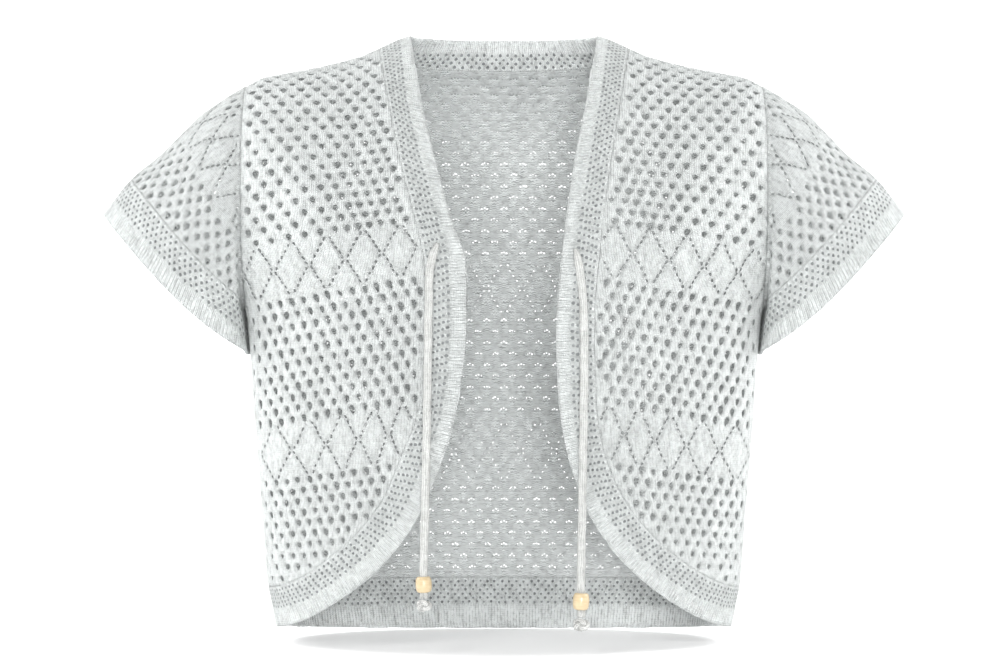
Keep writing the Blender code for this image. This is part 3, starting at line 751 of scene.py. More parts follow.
# For each band of diamonds: middle, half height and the points of its diamonds
DIAMOND_BANDS = {
    RIGHT: ((162.0, 19.0, (47.7, 74.0, 100.4, 127.0, 153.5, 180.0, 206.5)),
            (292.5, 19.5, (50.5, 72.0, 92.8, 115.5, 140.5, 167.0, 194.0))),
    LEFT: ((162.0, 19.0, (52.5, 78.5, 104.6, 131.0, 157.2, 183.5, 210.0)),
           (292.5, 19.5, (54.5, 75.0, 96.5, 119.0, 143.5, 169.5, 196.0))),
}
FRONT_CREASES = {
    RIGHT: ((-170, 176, 52, 30, 6, -1.5), (-128, 118, 10, 40, 7, 0.7), (-98, 70, -14, 38, 6, -0.7),
            (-150, 352, 10, 42, 9, -1.2), (-122, 300, -6, 46, 8, 0.9), (-84, 232, 4, 44, 6, 0.6),
            (-178, 262, 4, 50, 8, -0.9)),
    LEFT: ((166, 170, -50, 32, 6, -1.6), (120, 126, -8, 38, 7, 0.8), (104, 66, 16, 42, 6, -0.6),
           (148, 340, -12, 46, 9, -1.3), (126, 292, 8, 40, 8, 0.8), (90, 214, -5, 48, 6, 0.7),
           (182, 250, -6, 44, 8, -1.0)),
}


def row_drop(v, x):
    """How far a row of stitches has sunk at a distance from the middle."""
    return np.interp(v, *zip(*ROW_DROPS)) * (x - 64)


def band_station(side, share):
    rows = [(i / (len(BAND_STATIONS[side]) - 1), *row) for i, row in enumerate(BAND_STATIONS[side])]
    return read_table(rows, share)


def front_holes(side, chart, chance):
    """Every hole of a front, placed by its distance from the middle of the body as worn."""
    holes = []
    (upper, upper_half, _), (lower, lower_half, _) = DIAMOND_BANDS[side]
    columns = [187.0]
    while columns[-1] > 50:
        columns.append(columns[-1] - 9.2 - 3.2 * smooth_step((columns[-1] - 74) / 88))
    row, v = 0, upper - upper_half - 3.4
    while v > -60:
        for near, far in zip(columns[1:], columns):
            x = far if row % 2 else (near + far) / 2
            lean = 0.11 * (1 - smooth_step((x - 74) / 60))
            x += lean * (v - 60)
            size = 1.7 + 0.15 * smooth_step((x - 80) / 70)
            holes.append(uneven_hole(chance, x, v + row_drop(v, x), size, 2.5, True, 0.12 - lean))
        row, v = row + 1, v - UPPER_ROW
    between = lower - lower_half - upper - upper_half - 8
    rows = round(between / MIDDLE_ROW)
    for row in range(rows + 1):
        v = upper + upper_half + 4 + row * between / rows
        for column in range(20):
            x = 46.0 + (column + 0.5 * (row % 2)) * MIDDLE_PITCH
            holes.append(uneven_hole(chance, x, v + row_drop(v, x), 1.6, 2.9, True, 0.12))
    for row in range(13):
        v = lower + lower_half + 4 + row * LOWER_ROW
        for column in range(20):
            x = 48.0 + (column + 0.5 * (row % 2)) * LOWER_PITCH
            size = 1 - 0.18 * smooth_step((v - 330) / 60) - 0.1 * smooth_step((x - 140) / 50)
            holes.append(uneven_hole(chance, x, v + row_drop(v, x), 1.65 * size, 2.65 * size, True, 0.1))
    for level, half, points in DIAMOND_BANDS[side]:
        rhombs = [(b, (a + b) / 2, (b + c) / 2) for a, b, c in zip(points, points[1:], points[2:])]
        holes += diamond_slits(chance, rhombs, level, half, lambda x: row_drop(level, x))
    spots = np.array([(x * side, v) for x, v, *_ in holes])
    for _ in range(2):
        places = chart.place(spots)
        spots[:, 0] = [chart.spot_at(hole[0] * side, z)[0] for hole, z in zip(holes, places[:, 2])]
    return [(*spot, a, b, lean * side, large) for spot, (_, _, a, b, lean, large) in zip(spots, holes)]


for side, word in SIDES:
    angles = (-pi / 2, -0.12) if side == RIGHT else (0.12, pi / 2)
    chart = BodyChart(FRONT, *angles, 91)
    band_seam = []
    for i in range(90, -1, -1):
        _, _, seam_x, seam_z = band_station(side, i / 90)
        band_seam.append(chart.spot_at(side * seam_x, seam_z - (0.4 if i == 0 else 0)))
    lines = [shoulder_spots(chart, side * 93, side * 193), armhole_spots(chart, side),
             side_spots(chart, side), band_seam]
    if side == RIGHT:
        lines = [line[::-1] for line in lines[::-1]]
    outline = closed_outline(lines, 2.6)
    holes = front_holes(side, chart, np.random.default_rng(21 + side))
    front = knitted(f"front_lace_{word}", chart, outline, holes, even_fill(outline, 3.1),
                    FRONT_WALL, LACE_FINISH, creases=FRONT_CREASES[side], loop=12)
    stand_for(front, f"front_{word}")

# ---- Sleeves ----------------------------------------------------------------------------
# A short cap sleeve each side in the same lace, cut round at the top, joined at the underarm
# and linked into the armhole. Its columns run up from the cuff.

# Rings from the armhole out: their top and underarm ends, half depths and outward bulge
SLEEVE_RINGS = (
    # along, top_x, top_z, low_x, low_z, front, back, bulge
    (0.00, 193, -38, 193, -204, 57, 60, 0),
    (0.05, 199, -41, 193, -204, 59, 61, 0),
    (0.14, 209, -47, 191, -207, 61, 63, 1),
    (0.32, 229, -61, 190, -214, 61, 63, 2),
    (0.56, 257, -89, 189, -224, 59, 61, 4),
    (0.78, 281, -109, 188, -232, 56, 58, 5),
    (1.00, 300, -134, 187, -239, 53, 55, 6),
)
BULGE_SKEW = 0.6          # how much of the bulge moves from the top of the ring to its underarm
SLEEVE_MIDDLE_Y = 3.0
SLEEVE_LEAST = 0.3        # how far along the sleeve the cuff starts at the underarm
ARMHOLE_STEPS = 13
CUFF_WIDTH = 34.0
SLEEVE_CLEARANCE = 3.0


def armhole_point(half, side, turn):
    """The armhole from the shoulder, turn 0, to the underarm, turn pi."""
    top = shoulder_z(ARMHOLE_X)
    z = (top + UNDERARM_Z) / 2 + (top - UNDERARM_Z) / 2 * cos(turn)
    if turn > pi - 0.01:
        return Vector((side * ARMHOLE_X, 0.0, z))
    return Vector((side * ARMHOLE_X, body_depth(half, ARMHOLE_X, z), z))


def clear_of_body(side, point, along):
    """Keep a sleeve point outside the side of the body cloth that hangs beside it."""
    cloth_x = min(ARMHOLE_X, read_table(BODY_SECTIONS, point.z)[0])
    least = cloth_x + SLEEVE_CLEARANCE * min(along / SLEEVE_RINGS[1][0], 1.0)
    point.x = side * max(abs(point.x), least)
    return point


def sleeve_point(side, step, along):
    """A point of the sleeve, step by step round from the top over the front."""
    turn = pi * step / ARMHOLE_STEPS
    half = FRONT if step <= ARMHOLE_STEPS else BACK
    start = armhole_point(half, side, turn if half == FRONT else 2 * pi - turn)
    if along == 0:
        return start
    top_x, top_z, low_x, low_z, front, back, bulge = read_table(SLEEVE_RINGS, along)
    top, low = Vector((top_x, 0, top_z)), Vector((low_x, 0, low_z))
    outward = Vector((top.z - low.z, 0, low.x - top.x)).normalized()
    depth = front if half == FRONT else back
    bulge *= sin(turn) ** 2 * (1 - BULGE_SKEW * cos(turn))
    point = (top + low) / 2 + (top - low) / 2 * cos(turn) + outward * bulge
    middle = SHOULDER_Y + (SLEEVE_MIDDLE_Y - SHOULDER_Y) * (1 - cos(turn)) / 2
    point.y = middle - depth * sin(turn)
    point.x *= side
    leave = smooth_step(along / SLEEVE_RINGS[2][0])
    return clear_of_body(side, start.lerp(point, leave), along)


def cuff_seam_share(side, step):
    """How far along the sleeve its cuff starts, at a step round it."""
    points = [sleeve_point(side, step, share) for share in [i / 24 for i in range(25)]]
    lengths = [(0.0, 0.0)]
    for i, (before, after) in enumerate(zip(points, points[1:]), 1):
        lengths.append((lengths[-1][0] + (after - before).length, i / 24))
    return max(read_table(lengths, lengths[-1][0] - CUFF_WIDTH)[0], SLEEVE_LEAST)


SLEEVE_WALL = 1.5
SLEEVE_COLUMNS, SLEEVE_ROW = 12.0, 6.6
SLEEVE_BAND, SLEEVE_RHOMB = (59.0, 19.0), 27     # the diamonds' level, half height and width
SLEEVE_CREASES = {
    RIGHT: ((168, 46, 8, 30, 9, 1.2), (228, 40, -12, 34, 8, -1.4), (112, 34, 14, 30, 8, -1.2),
            (258, 30, 20, 26, 7, -1.5), (140, 70, -30, 24, 9, 0.9)),
    LEFT: ((172, 50, -6, 32, 9, 1.1), (236, 36, 14, 30, 8, -1.5), (108, 40, -12, 32, 9, -1.1),
           (262, 28, -22, 24, 7, -1.3), (204, 74, 26, 26, 9, 0.8)),
}


def sleeve_grid(side, columns, rows, of_cuff):
    """Columns round from the underarm, each from the cuff seam to the armhole or the edge."""
    points = []
    for k in range(columns + 1):
        step = (ARMHOLE_STEPS + 2 * ARMHOLE_STEPS * k / columns) % (2 * ARMHOLE_STEPS)
        seam = cuff_seam_share(side, step)
        far = 1.0 if of_cuff else 0.0
        points.append([sleeve_point(side, step, seam + (far - seam) * m / rows)
                       for m in range(rows + 1)])
    points[-1] = points[0]
    ring = np.array([column[0] for column in points])
    across = np.concatenate([[0], np.linalg.norm(np.diff(ring, axis=0), axis=1).cumsum()])
    return across, points


def strip_outline(chart, count, step):
    """A strip's cut edge: its low edge, its top edge and its two ends, which are alike."""
    first, last = chart.across[0], chart.across[-1]
    low = [(u, chart.end(u, True)) for u in np.linspace(first, last, count)]
    top = [(u, chart.end(u, False)) for u in np.linspace(last, first, count)]
    return closed_outline([low, [low[-1], top[0]], top, [top[-1], low[0]]], step)


def sleeve_sink(u, round_it):
    """How far the rows of a sleeve sink from its top to its underarm."""
    return 11 * cos(2 * pi * (u / round_it - 0.5))


for side, word in SIDES:
    chart = Chart(*sleeve_grid(side, 130, 40, False))
    round_it = chart.across[-1]
    chance = np.random.default_rng(31 + side)
    around = round(round_it / SLEEVE_COLUMNS)
    holes = []
    for row in range(24):
        v = 4.5 + row * SLEEVE_ROW
        for column in range(around + 1):
            u = (column + 0.25 + 0.5 * (row % 2)) * round_it / around
            if abs(v - SLEEVE_BAND[0] - sleeve_sink(u, round_it)) < SLEEVE_BAND[1] + 2.5:
                continue
            size = 1 - 0.3 * (u < round_it / 2)
            holes.append(uneven_hole(chance, u, v, 1.75 * size, 2.4 * size, True, pi))
    wide = round_it / round(round_it / SLEEVE_RHOMB)
    rhombs = [(c * wide, (c - 0.5) * wide, (c + 0.5) * wide) for c in range(1, round(round_it / wide))]
    holes += diamond_slits(chance, rhombs, *SLEEVE_BAND, lambda u: sleeve_sink(u, round_it))
    outline = strip_outline(chart, 160, 2.8)
    sleeve = knitted(f"sleeve_lace_{word}", chart, outline, holes, even_fill(outline, 3.3),
                     SLEEVE_WALL, LACE_FINISH, creases=SLEEVE_CREASES[side], cut=round_it)
    stand_for(sleeve, f"sleeve_{word}")

# ---- Cuffs ------------------------------------------------------------------------------
# A double band closes each sleeve: five staggered rows of eyelets and then a rib, whose
# ridges run out to the edge. It is knitted closer, so it is smoother and a little lighter.
BAND_COLOUR = (0.73, 0.76, 0.753)
# Painted shade: the walls of the eyelets take a dark copy of the yarn, standing for the shade inside the
# double band.
BAND_HOLE_SHADE = (0.30, 0.32, 0.32)
band_face = yarn_material("band_plain_side", BAND_COLOUR, plain_stitches, shade=0.45)
# Painted light: the band's inner side takes the same lighter copy of the yarn.
band_back = yarn_material("band_inner_side_painted_light", LIT_INSIDE_COLOUR, plain_stitches, shade=0.6)
band_hole_shade = yarn_material("band_hole_painted_shade", BAND_HOLE_SHADE, plain_stitches, shade=0.3)
BAND_FINISH = (band_face, band_back, band_hole_shade)
BAND_WALL = 1.9
CUFF_WALE, CUFF_RIB = 2.65, 21.5      # a ridge's width, and where the rib starts


def rib_ridges(start, wale, height, fold=None):
    """Ridges across a band from where its rib starts, and the groove where the rib folds back."""
    def ridge(spots):
        depth = np.clip((spots[:, 1] - start) / 1.5, 0, 1)
        rise = depth * height * np.cos(2 * pi * (spots[:, 0] / wale - 0.5))
        if fold:
            folded = (np.clip((spots[:, 0] - fold[0]) / 14, 0, 1)
                      * np.clip((fold[1] - spots[:, 0]) / 60, 0, 1))
            rise -= folded * fold[2] * np.exp(-((spots[:, 1] - start - 1.2) / 1.9) ** 2)
        return rise
    return ridge


def band_fill(outline, rib_start, wale):
    """Open spots on the eyelets and close ones on the rib, three to a ridge."""
    spots = even_fill(outline, 3.0)
    spots = spots[spots[:, 1] < rib_start - 1]
    low, high = outline[:, 0].min(), outline[:, 0].max()
    rib = [(u, v) for v in np.arange(rib_start, outline[:, 1].max(), 3.0)
           for u in np.arange(low, high, wale / 3)]
    return np.concatenate([spots, rib])


def eyelets(chance, length, first, columns, step, pitch, size, tilt=0.0, stagger=lambda u: 0.5):
    """Rows of round eyelets along a band; stagger is the share of a step that columns shift."""
    found = []
    for column in range(columns):
        for row in range(int(length / step) + 2):
            v = first + column * pitch
            u = (row + stagger(row * step) * (column % 2)) * step + tilt * v
            found.append(uneven_hole(chance, u, v, size, size * 1.05, False))
    return found


for side, word in SIDES:
    chart = Chart(*sleeve_grid(side, 130, 8, True))
    round_it = chart.across[-1]
    outline = strip_outline(chart, 160, 2.2)
    holes = eyelets(np.random.default_rng(41 + side), round_it, first=3.6, columns=5, step=5.3,
                    pitch=3.6, size=1.15)
    cuff = knitted(f"cuff_knit_{word}", chart, outline, holes,
                   band_fill(outline, CUFF_RIB + 1.5, CUFF_WALE), BAND_WALL,
                   BAND_FINISH, CUFF_WALE,
                   ridge=rib_ridges(CUFF_RIB, CUFF_WALE, 0.7), double=True, cut=round_it)
    stand_for(cuff, f"cuff_{word}")

# ---- Front bands ------------------------------------------------------------------------
# A long band edges each front from the shoulder to the side seam: a strip of eyelets along
# the seam and a rib along the free edge, which turns back a little below the tie.
RIB_ROLL = {RIGHT: 7.0, LEFT: 5.0}
ROLL_TOP_Z, ROLL_FULL_Z, ROLL_LOW_Z, ROLL_END_Z = -158.0, -178.0, -260.0, -350.0
BAND_WALE, BAND_RIB = 2.35, 17.3
BAND_FOLD = (168.0, 360.0, 2.0)     # where along it the rib folds back, and its groove's depth


def roll_back(side, z, outward):
    """How far the rib turns back at a height, from the seam, 0, to the free edge, 1."""
    if z > ROLL_FULL_Z:
        amount = smooth_step((ROLL_TOP_Z - z) / (ROLL_TOP_Z - ROLL_FULL_Z))
    else:
        amount = 1 - smooth_step((ROLL_LOW_Z - z) / (ROLL_LOW_Z - ROLL_END_Z))
    return RIB_ROLL[side] * amount * smooth_step((outward - 0.45) / 0.55)


def strip_grid(lines):
    """A strip's chart, across measured along its middle."""
    middle = np.array([line[len(line) // 2] for line in lines])
    return np.concatenate([[0], np.linalg.norm(np.diff(middle, axis=0), axis=1).cumsum()]), lines


for side, word in SIDES:
    lines = []
    for i in range(201):
        edge_x, edge_z, seam_x, seam_z = band_station(side, i / 200)
        line = []
        for m in range(13):
            outward = m / 12
            x = seam_x + (edge_x - seam_x) * outward
            z = shoulder_z(x) if i == 0 else seam_z + (edge_z - seam_z) * outward
            point = body_point(FRONT, side, girth_angle(x, z), z)
            point.y += roll_back(side, z, outward)
            line.append(point)
        lines.append(line)
    chart = Chart(*strip_grid(lines))
    outline = strip_outline(chart, 200, 2.4)
    length = chart.across[-1]
    holes = eyelets(np.random.default_rng(51 + side), length, first=2.9, columns=5, step=5.0,
                    pitch=3.05, size=1.1, tilt=-0.3,
                    stagger=lambda u: 0.5 * (1 - smooth_step((u - 150) / 60)))
    band = knitted(f"band_knit_{word}", chart, outline, holes,
                   band_fill(outline, BAND_RIB + 1.2, BAND_WALE), BAND_WALL,
                   BAND_FINISH, BAND_WALE,
                   ridge=rib_ridges(BAND_RIB, BAND_WALE, 0.42, BAND_FOLD), double=True)
    stand_for(band, f"band_{word}")

# ---- Back neck band ---------------------------------------------------------------------
# The same band goes on round the back of the neck, a little narrower, and joins the front
# bands at the shoulders.
NECK_WALE, NECK_RIB = 3.0, 13.5
lines = []
for i in range(121):
    share = 2 * i / 120 - 1
    side = LEFT if share > 0 else RIGHT
    edge_x, edge_y, edge_z, seam_x, seam_z = read_table(neck_rows, 5 * (1 - abs(share)))
    seam = Vector((side * seam_x, body_depth(BACK, seam_x, seam_z), seam_z))
    edge = Vector((side * edge_x, edge_y, edge_z))
    lines.append([seam.lerp(edge, m / 10) for m in range(11)])
chart = Chart(*strip_grid(lines))
outline = strip_outline(chart, 200, 2.4)
holes = eyelets(np.random.default_rng(61), chart.across[-1], first=2.6, columns=4, step=6.0,
                pitch=3.1, size=1.15)
neck = knitted("band_knit_neck", chart, outline, holes, band_fill(outline, NECK_RIB + 1, NECK_WALE),
               BAND_WALL, BAND_FINISH, NECK_WALE, ridge=rib_ridges(NECK_RIB, NECK_WALE, 0.5),
               double=True)
stand_for(neck, "band_neck")

# ---- Back hem band ----------------------------------------------------------------------
# The deepest stretch of the band closes the back below, with its eyelets in level rows and a
# wider rib. Its ends meet the front bands at the side seams.
HEM_SIDE_Z, HEM_MIDDLE_Z = -441.5, -453.3     # the free edge hangs lower in the middle
HEM_RIB, HEM_WALE = 21.5, 2.5
lines = []
for i in range(161):
    across = 2 * i / 160 - 1
    start = SIDE_HEM_SEAM_Z + (HEM_SEAM_MIDDLE_Z - SIDE_HEM_SEAM_Z) * (1 - across ** 2)
    end = HEM_SIDE_Z + (HEM_MIDDLE_Z - HEM_SIDE_Z) * (1 - across ** 2)
    lines.append([body_point(BACK, LEFT if across > 0 else RIGHT, abs(across) * pi / 2,
                             start + (end - start) * m / 12) for m in range(13)])
chart = Chart(*strip_grid(lines))
outline = strip_outline(chart, 200, 2.6)
holes = eyelets(np.random.default_rng(71), chart.across[-1], first=3.2, columns=6, step=5.6,
                pitch=3.2, size=1.0)
hem = knitted("band_knit_hem", chart, outline, holes, band_fill(outline, HEM_RIB + 1, HEM_WALE),
              BAND_WALL, BAND_FINISH, HEM_WALE, ridge=rib_ridges(HEM_RIB, HEM_WALE, 0.5),
              double=True)
stand_for(hem, "band_hem")

# ---- Ties -------------------------------------------------------------------------------
# A flat cord knitted from the same yarn leaves each front band between its eyelets and its
# rib, and hangs limp to its bead and end knot.
TIE_ROUTES = {
    RIGHT: (
        # x, y, z
        (-47.0, -116.3, -159.0),
        (-50.4, -117.5, -167.0),
        (-52.6, -118.0, -178.0),
        (-53.4, -118.2, -200.0),
        (-54.0, -118.2, -240.0),
        (-54.8, -118.1, -290.0),
        (-55.8, -118.0, -340.0),
        (-56.9, -118.0, -385.0),
        (-57.0, -118.0, -401.4),
        (-57.0, -118.0, -411.8),
    ),
    LEFT: (
        (50.6, -117.2, -163.0),
        (52.6, -117.6, -171.0),
        (54.8, -117.8, -185.0),
        (56.6, -117.9, -210.0),
        (57.0, -117.9, -240.0),
        (56.4, -117.9, -290.0),
        (55.6, -117.9, -340.0),
        (54.8, -117.9, -390.0),
        (54.7, -117.9, -413.0),
        (54.7, -117.9, -424.9),
    ),
}
TIE_WIDTH, TIE_THICK = 6.0, 2.5
TIE_WALES, TIE_COURSE = 6, 1.75     # stitches round it and their height
TIE_COLOUR = (0.575, 0.585, 0.57)
tie_yarn = yarn_material("tie_cord_knit", TIE_COLOUR, plain_stitches, shade=0.4, bump=0.6)


def along_curve(points, share):
    """A point on the smooth curve through points, at a share of its length."""
    lengths = [0.0]
    for before, after in zip(points, points[1:]):
        lengths.append(lengths[-1] + (after - before).length)
    rows = [(length, *point) for length, point in zip(lengths, points)]
    return Vector(read_table(rows, share * lengths[-1]))


def made_piece(name, shape, material):
    """A finished shape as a smooth piece of the scene."""
    mesh = bpy.data.meshes.new(name)
    shape.to_mesh(mesh)
    shape.free()
    mesh.shade_smooth()
    mesh.materials.append(material)
    piece = bpy.data.objects.new(name, mesh)
    bpy.context.scene.collection.objects.link(piece)
    return piece


def tube_faces(shape, rings, layer, spot_size):
    """Faces between rings that follow each other, with the stitches' own map on them."""
    around = len(rings[0])
    for i, (above, below) in enumerate(zip(rings, rings[1:])):
        for k in range(around):
            after = (k + 1) % around
            face = shape.faces.new([above[k], above[after], below[after], below[k]])
            for corner, (ku, kv) in zip(face.loops, ((k, i), (k + 1, i), (k + 1, i + 1), (k, i + 1))):
                corner[layer].uv = (ku * spot_size[0] / around, kv * spot_size[1])


ties = {}
for side, word in SIDES:
    points = [Vector(row) for row in TIE_ROUTES[side]]
    count, around = 150, 14
    line = [along_curve(points, i / count) for i in range(count + 1)]
    line = [p + Vector((0, 0.5 + 1.0 * exp(-i / 5), 0)) for i, p in enumerate(line)]
    length = sum((b - a).length for a, b in zip(line, line[1:]))
    cord = bmesh.new()
    layer = cord.loops.layers.uv.new("knit")
    rings = []
    for i, point in enumerate(line):
        along = (line[min(i + 1, count)] - line[max(i - 1, 0)]).normalized()
        wide = along.cross(Vector((0, 1, 0))).normalized()
        deep = wide.cross(along).normalized()
        pinch = 1 - 0.45 * exp(-(i / 3.2) ** 2)      # it is drawn in where it leaves the band
        sway = 0.25 * sin(i * 0.35 + side) + 0.15 * sin(i * 0.9)
        ring = []
        for k in range(around):
            turn = 2 * pi * k / around
            x = TIE_WIDTH / 2 * pinch * abs(cos(turn)) ** 0.8 * (1 if cos(turn) > 0 else -1)
            y = TIE_THICK / 2 * abs(sin(turn)) ** 0.8 * (1 if sin(turn) > 0 else -1)
            y *= 1 - 0.22 * exp(-(x / 0.8) ** 2)
            ring.append(cord.verts.new((point + wide * (x + sway * 0.5) + deep * y) * MM))
        rings.append(ring)
    tube_faces(cord, rings, layer, (TIE_WALES, length / count / TIE_COURSE))
    for ring in (rings[0][::-1], rings[-1]):
        cord.faces.new(ring)
    bmesh.ops.recalc_face_normals(cord, faces=cord.faces)
    ties[side] = (made_piece(f"tie_cord_{word}", cord, tie_yarn), line, length)

# ---- Beads ------------------------------------------------------------------------------
# A turned wooden bead with rounded shoulders and a waxed surface is threaded on each tie,
# just above its knot.
BEADS = {
    # side: radius, height, z of its middle
    RIGHT: (5.8, 11.4, -401.4),
    LEFT: (5.9, 12.0, -413.4),
}
BEAD_BORE = 2.85
WOOD_DARK, WOOD_LIGHT = (0.42, 0.315, 0.175), (0.67, 0.55, 0.355)
wood = bpy.data.materials.new("bead_waxed_wood")
wood.use_nodes = True
tree = wood.node_tree
shader = tree.nodes["Principled BSDF"]
place = node_of(tree, "ShaderNodeTexCoord").outputs["Object"]
turned = node_of(tree, "ShaderNodeMapping", {"Vector": place, "Scale": (160, 160, 900)})
grain = noise(tree, turned.outputs[0], 1.0, 4.0)
tree.links.new(blend(tree, grain, WOOD_DARK, WOOD_LIGHT), shader.inputs["Base Color"])
fine = node_of(tree, "ShaderNodeBump", {"Height": grain, "Distance": 0.08 * MM})
tree.links.new(fine.outputs[0], shader.inputs["Normal"])
shader.inputs["Roughness"].default_value = 0.38
shader.inputs["Coat Weight"].default_value = 0.25
for side, word in SIDES:
    radius, height, z = BEADS[side]
    half = height / 2
    profile = [(BEAD_BORE, half * 0.9), (BEAD_BORE + 0.35, half * 0.97), (radius * 0.62, half),
               (radius * 0.8, half * 0.93), (radius * 0.92, half * 0.72), (radius * 0.98, half * 0.4),
               (radius, 0)]
    profile += [(r, -v) for r, v in profile[-2::-1]]
    end = TIE_ROUTES[side][-1]
    turning = bmesh.new()
    ring = [turning.verts.new((r * MM, 0, v * MM)) for r, v in profile]
    edges = [turning.edges.new((a, b)) for a, b in zip(ring, ring[1:] + ring[:1])]
    bmesh.ops.spin(turning, geom=ring + edges, cent=(0, 0, 0), axis=(0, 0, 1), dvec=(0, 0, 0),
                   angle=2 * pi, steps=40, use_duplicate=False)
    bmesh.ops.remove_doubles(turning, verts=turning.verts, dist=0.01 * MM)
    bmesh.ops.recalc_face_normals(turning, faces=turning.faces)
    bmesh.ops.rotate(turning, verts=turning.verts, matrix=Matrix.Rotation(radians(3 * side), 3, "Y"))
    bmesh.ops.translate(turning, verts=turning.verts, vec=Vector((end[0], end[1] + 0.5, z)) * MM)
    bead = made_piece(f"bead_wood_{word}", turning, wood)
    stand_for(bead, f"bead_{word}")

# ---- End knots --------------------------------------------------------------------------
# Each tie ends below its bead in a plain overhand knot of the same cord, pulled tight, with
# a short tuft of cut yarn.
KNOTS = {
    # side: half width, half depth, half height
    RIGHT: (5.7, 5.0, 4.4),
    LEFT: (6.1, 5.2, 4.9),
}
KNOT_CORD = (1.9, 1.5)     # the squeezed cord's half width and half thickness
TUFT = (
    # across, forward, length
    (-1.5, 0.4, 1.0),
    (0.0, -0.8, 1.5),
    (1.4, 0.5, 0.9),
    (2.6, -0.4, 0.6),
    (-2.7, -0.2, 0.6),
)
KNOT_COLOUR = (0.76, 0.765, 0.745)
knot_yarn = yarn_material("knot_cord_knit", KNOT_COLOUR, plain_stitches, shade=0.8, bump=0.9)


def overhand(turn, half_width, half_depth, half_height):
    """A point along the middle of the cord in an overhand knot with its ends hidden."""
    swing = 2 + cos(3 * turn)
    return Vector((swing * cos(2 * turn) * (half_width - 1.5) / 3,
                   sin(3 * turn) * (half_depth - 2.0) * 0.8,
                   swing * sin(2 * turn) * (half_height - 1.7) / 3))


for side, word in SIDES:
    size = KNOTS[side]
    end = Vector(TIE_ROUTES[side][-1]) + Vector((0, 0.5, -0.3 - size[2]))
    tied = bmesh.new()
    layer = tied.loops.layers.uv.new("knit")
    turns, around = 72, 10
    rings = []
    for i in range(turns):
        turn = 2 * pi * i / turns
        middle = overhand(turn, *size)
        ahead = (overhand(turn + 0.01, *size) - middle).normalized()
        one = ahead.cross(Vector((0.3, 1, 0.2))).normalized()
        two = ahead.cross(one)
        ring = []
        for k in range(around):
            spin = 2 * pi * k / around
            off = one * cos(spin) * KNOT_CORD[0] + two * sin(spin) * KNOT_CORD[1]
            ring.append(tied.verts.new((end + middle + off) * MM))
        rings.append(ring)
    tube_faces(tied, rings + rings[:1], layer, (4, 0.55))
    for dx, dy, length in TUFT:
        base = end + Vector((dx, dy, 2.3 - size[2]))
        tip = end + Vector((dx * 1.35, dy * 1.4, 1.5 - length - size[2]))
        strand = bmesh.ops.create_cone(tied, cap_ends=True, segments=7, radius1=0.35 * MM,
                                       radius2=0.75 * MM, depth=(base - tip).length * MM)["verts"]
        lean = (base - tip).to_track_quat("Z", "Y").to_matrix()
        bmesh.ops.rotate(tied, verts=strand, matrix=lean)
        bmesh.ops.translate(tied, verts=strand, vec=(base + tip) / 2 * MM)
    bmesh.ops.recalc_face_normals(tied, faces=tied.faces)
    knot = made_piece(f"knot_yarn_{word}", tied, knot_yarn)
    stand_for(knot, f"knot_{word}")
    tie, line, length = ties[side]
    stand_for(tie, f"tie_{word}")

# ---- Studio -----------------------------------------------------------------------------
# A plain pale floor at the hem, which glows softly and curves up into the backdrop, two large
# soft lights in front, two on the backdrop, and a camera level with the garment's middle.
FLOOR_Z = -454.0
FLOOR_FRONT, CURVE_START, CURVE_RADIUS, WALL_TOP = -3200, 900, 500, 3000
sweep = [(FLOOR_FRONT, 0)]
sweep += [(CURVE_START + CURVE_RADIUS * sin(a), CURVE_RADIUS * (1 - cos(a)))
          for a in np.linspace(0, pi / 2, 14)]
sweep += [(CURVE_START + CURVE_RADIUS, WALL_TOP)]
floor_mesh = bpy.data.meshes.new("studio_sweep")
floor_points = [(x * MM, y * MM, (FLOOR_Z + z) * MM) for y, z in sweep for x in (-4000, 4000)]
floor_mesh.from_pydata(floor_points, [], [(2 * i, 2 * i + 1, 2 * i + 3, 2 * i + 2)
                                          for i in range(len(sweep) - 1)])
floor_mesh.shade_smooth()
paper = bpy.data.materials.new("studio_paper")
paper.use_nodes = True
tree = paper.node_tree
shader = tree.nodes["Principled BSDF"]
grainy = noise(tree, node_of(tree, "ShaderNodeTexCoord").outputs["Object"], 3.0)
pale = blend(tree, grainy, (0.76, 0.76, 0.76), (0.78, 0.78, 0.78))
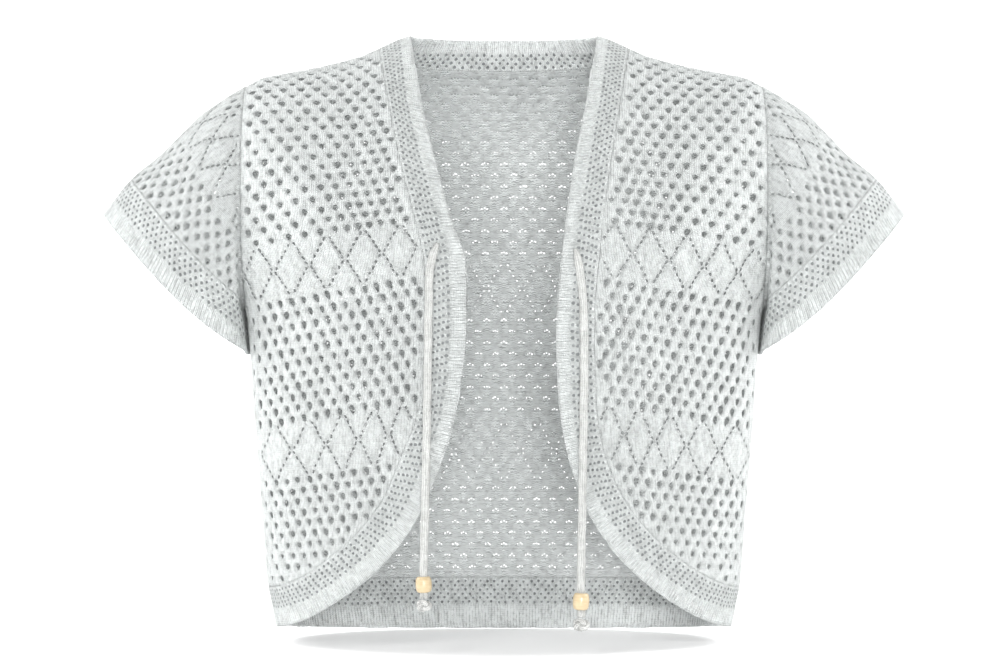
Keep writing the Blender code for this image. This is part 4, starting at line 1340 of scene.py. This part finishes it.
tree.links.new(pale, shader.inputs["Base Color"])
shader.inputs["Roughness"].default_value = 0.9
shader.inputs["Emission Color"].default_value = (1, 1, 1, 1)
shader.inputs["Emission Strength"].default_value = 0.33
# The paper shows on its lit side only, so that it never hides the garment
away = node_of(tree, "ShaderNodeNewGeometry").outputs["Backfacing"]
clear = node_of(tree, "ShaderNodeBsdfTransparent").outputs[0]
one_sided = node_of(tree, "ShaderNodeMixShader", {0: away, 1: shader.outputs[0], 2: clear})
tree.links.new(one_sided.outputs[0], tree.nodes["Material Output"].inputs["Surface"])
floor_mesh.materials.append(paper)
floor = bpy.data.objects.new("studio_sweep", floor_mesh)
bpy.context.scene.collection.objects.link(floor)

for name, place, aim, size, watts in (
        ("key_light", (-0.9, -2.4, 1.2), (0, 0, -0.2), 0.7, 22),
        ("front_light", (0.15, -3.0, -0.1), (0, 0, -0.2), 0.7, 54),
        ("wall_light_left", (-1.9, 0.35, 0.9), (-0.4, 1.4, -0.1), 1.2, 47),
        ("wall_light_right", (1.9, 0.35, 0.9), (0.4, 1.4, -0.1), 1.2, 47)):
    lamp = bpy.data.lights.new(name, "AREA")
    lamp.size = size
    lamp.energy = watts
    holder = bpy.data.objects.new(name, lamp)
    holder.location = place
    holder.rotation_euler = (Vector(aim) - Vector(place)).to_track_quat("-Z", "Y").to_euler()
    holder.visible_camera = False
    bpy.context.scene.collection.objects.link(holder)

world = bpy.data.worlds.new("studio_air")
world.use_nodes = True
world.node_tree.nodes["Background"].inputs[0].default_value = (1.0, 1.0, 1.0, 1)
world.node_tree.nodes["Background"].inputs[1].default_value = 0.52
bpy.context.scene.world = world

eye = bpy.data.cameras.new("camera")
eye.lens = 104.76
eye.sensor_width = 36.0
eye.clip_end = 20
camera = bpy.data.objects.new("camera", eye)
camera.location = (0, -2.2, -0.225)
camera.rotation_euler = (pi / 2, 0, 0)
bpy.context.scene.collection.objects.link(camera)
bpy.context.scene.camera = camera
bpy.context.scene.view_settings.view_transform = "Standard"
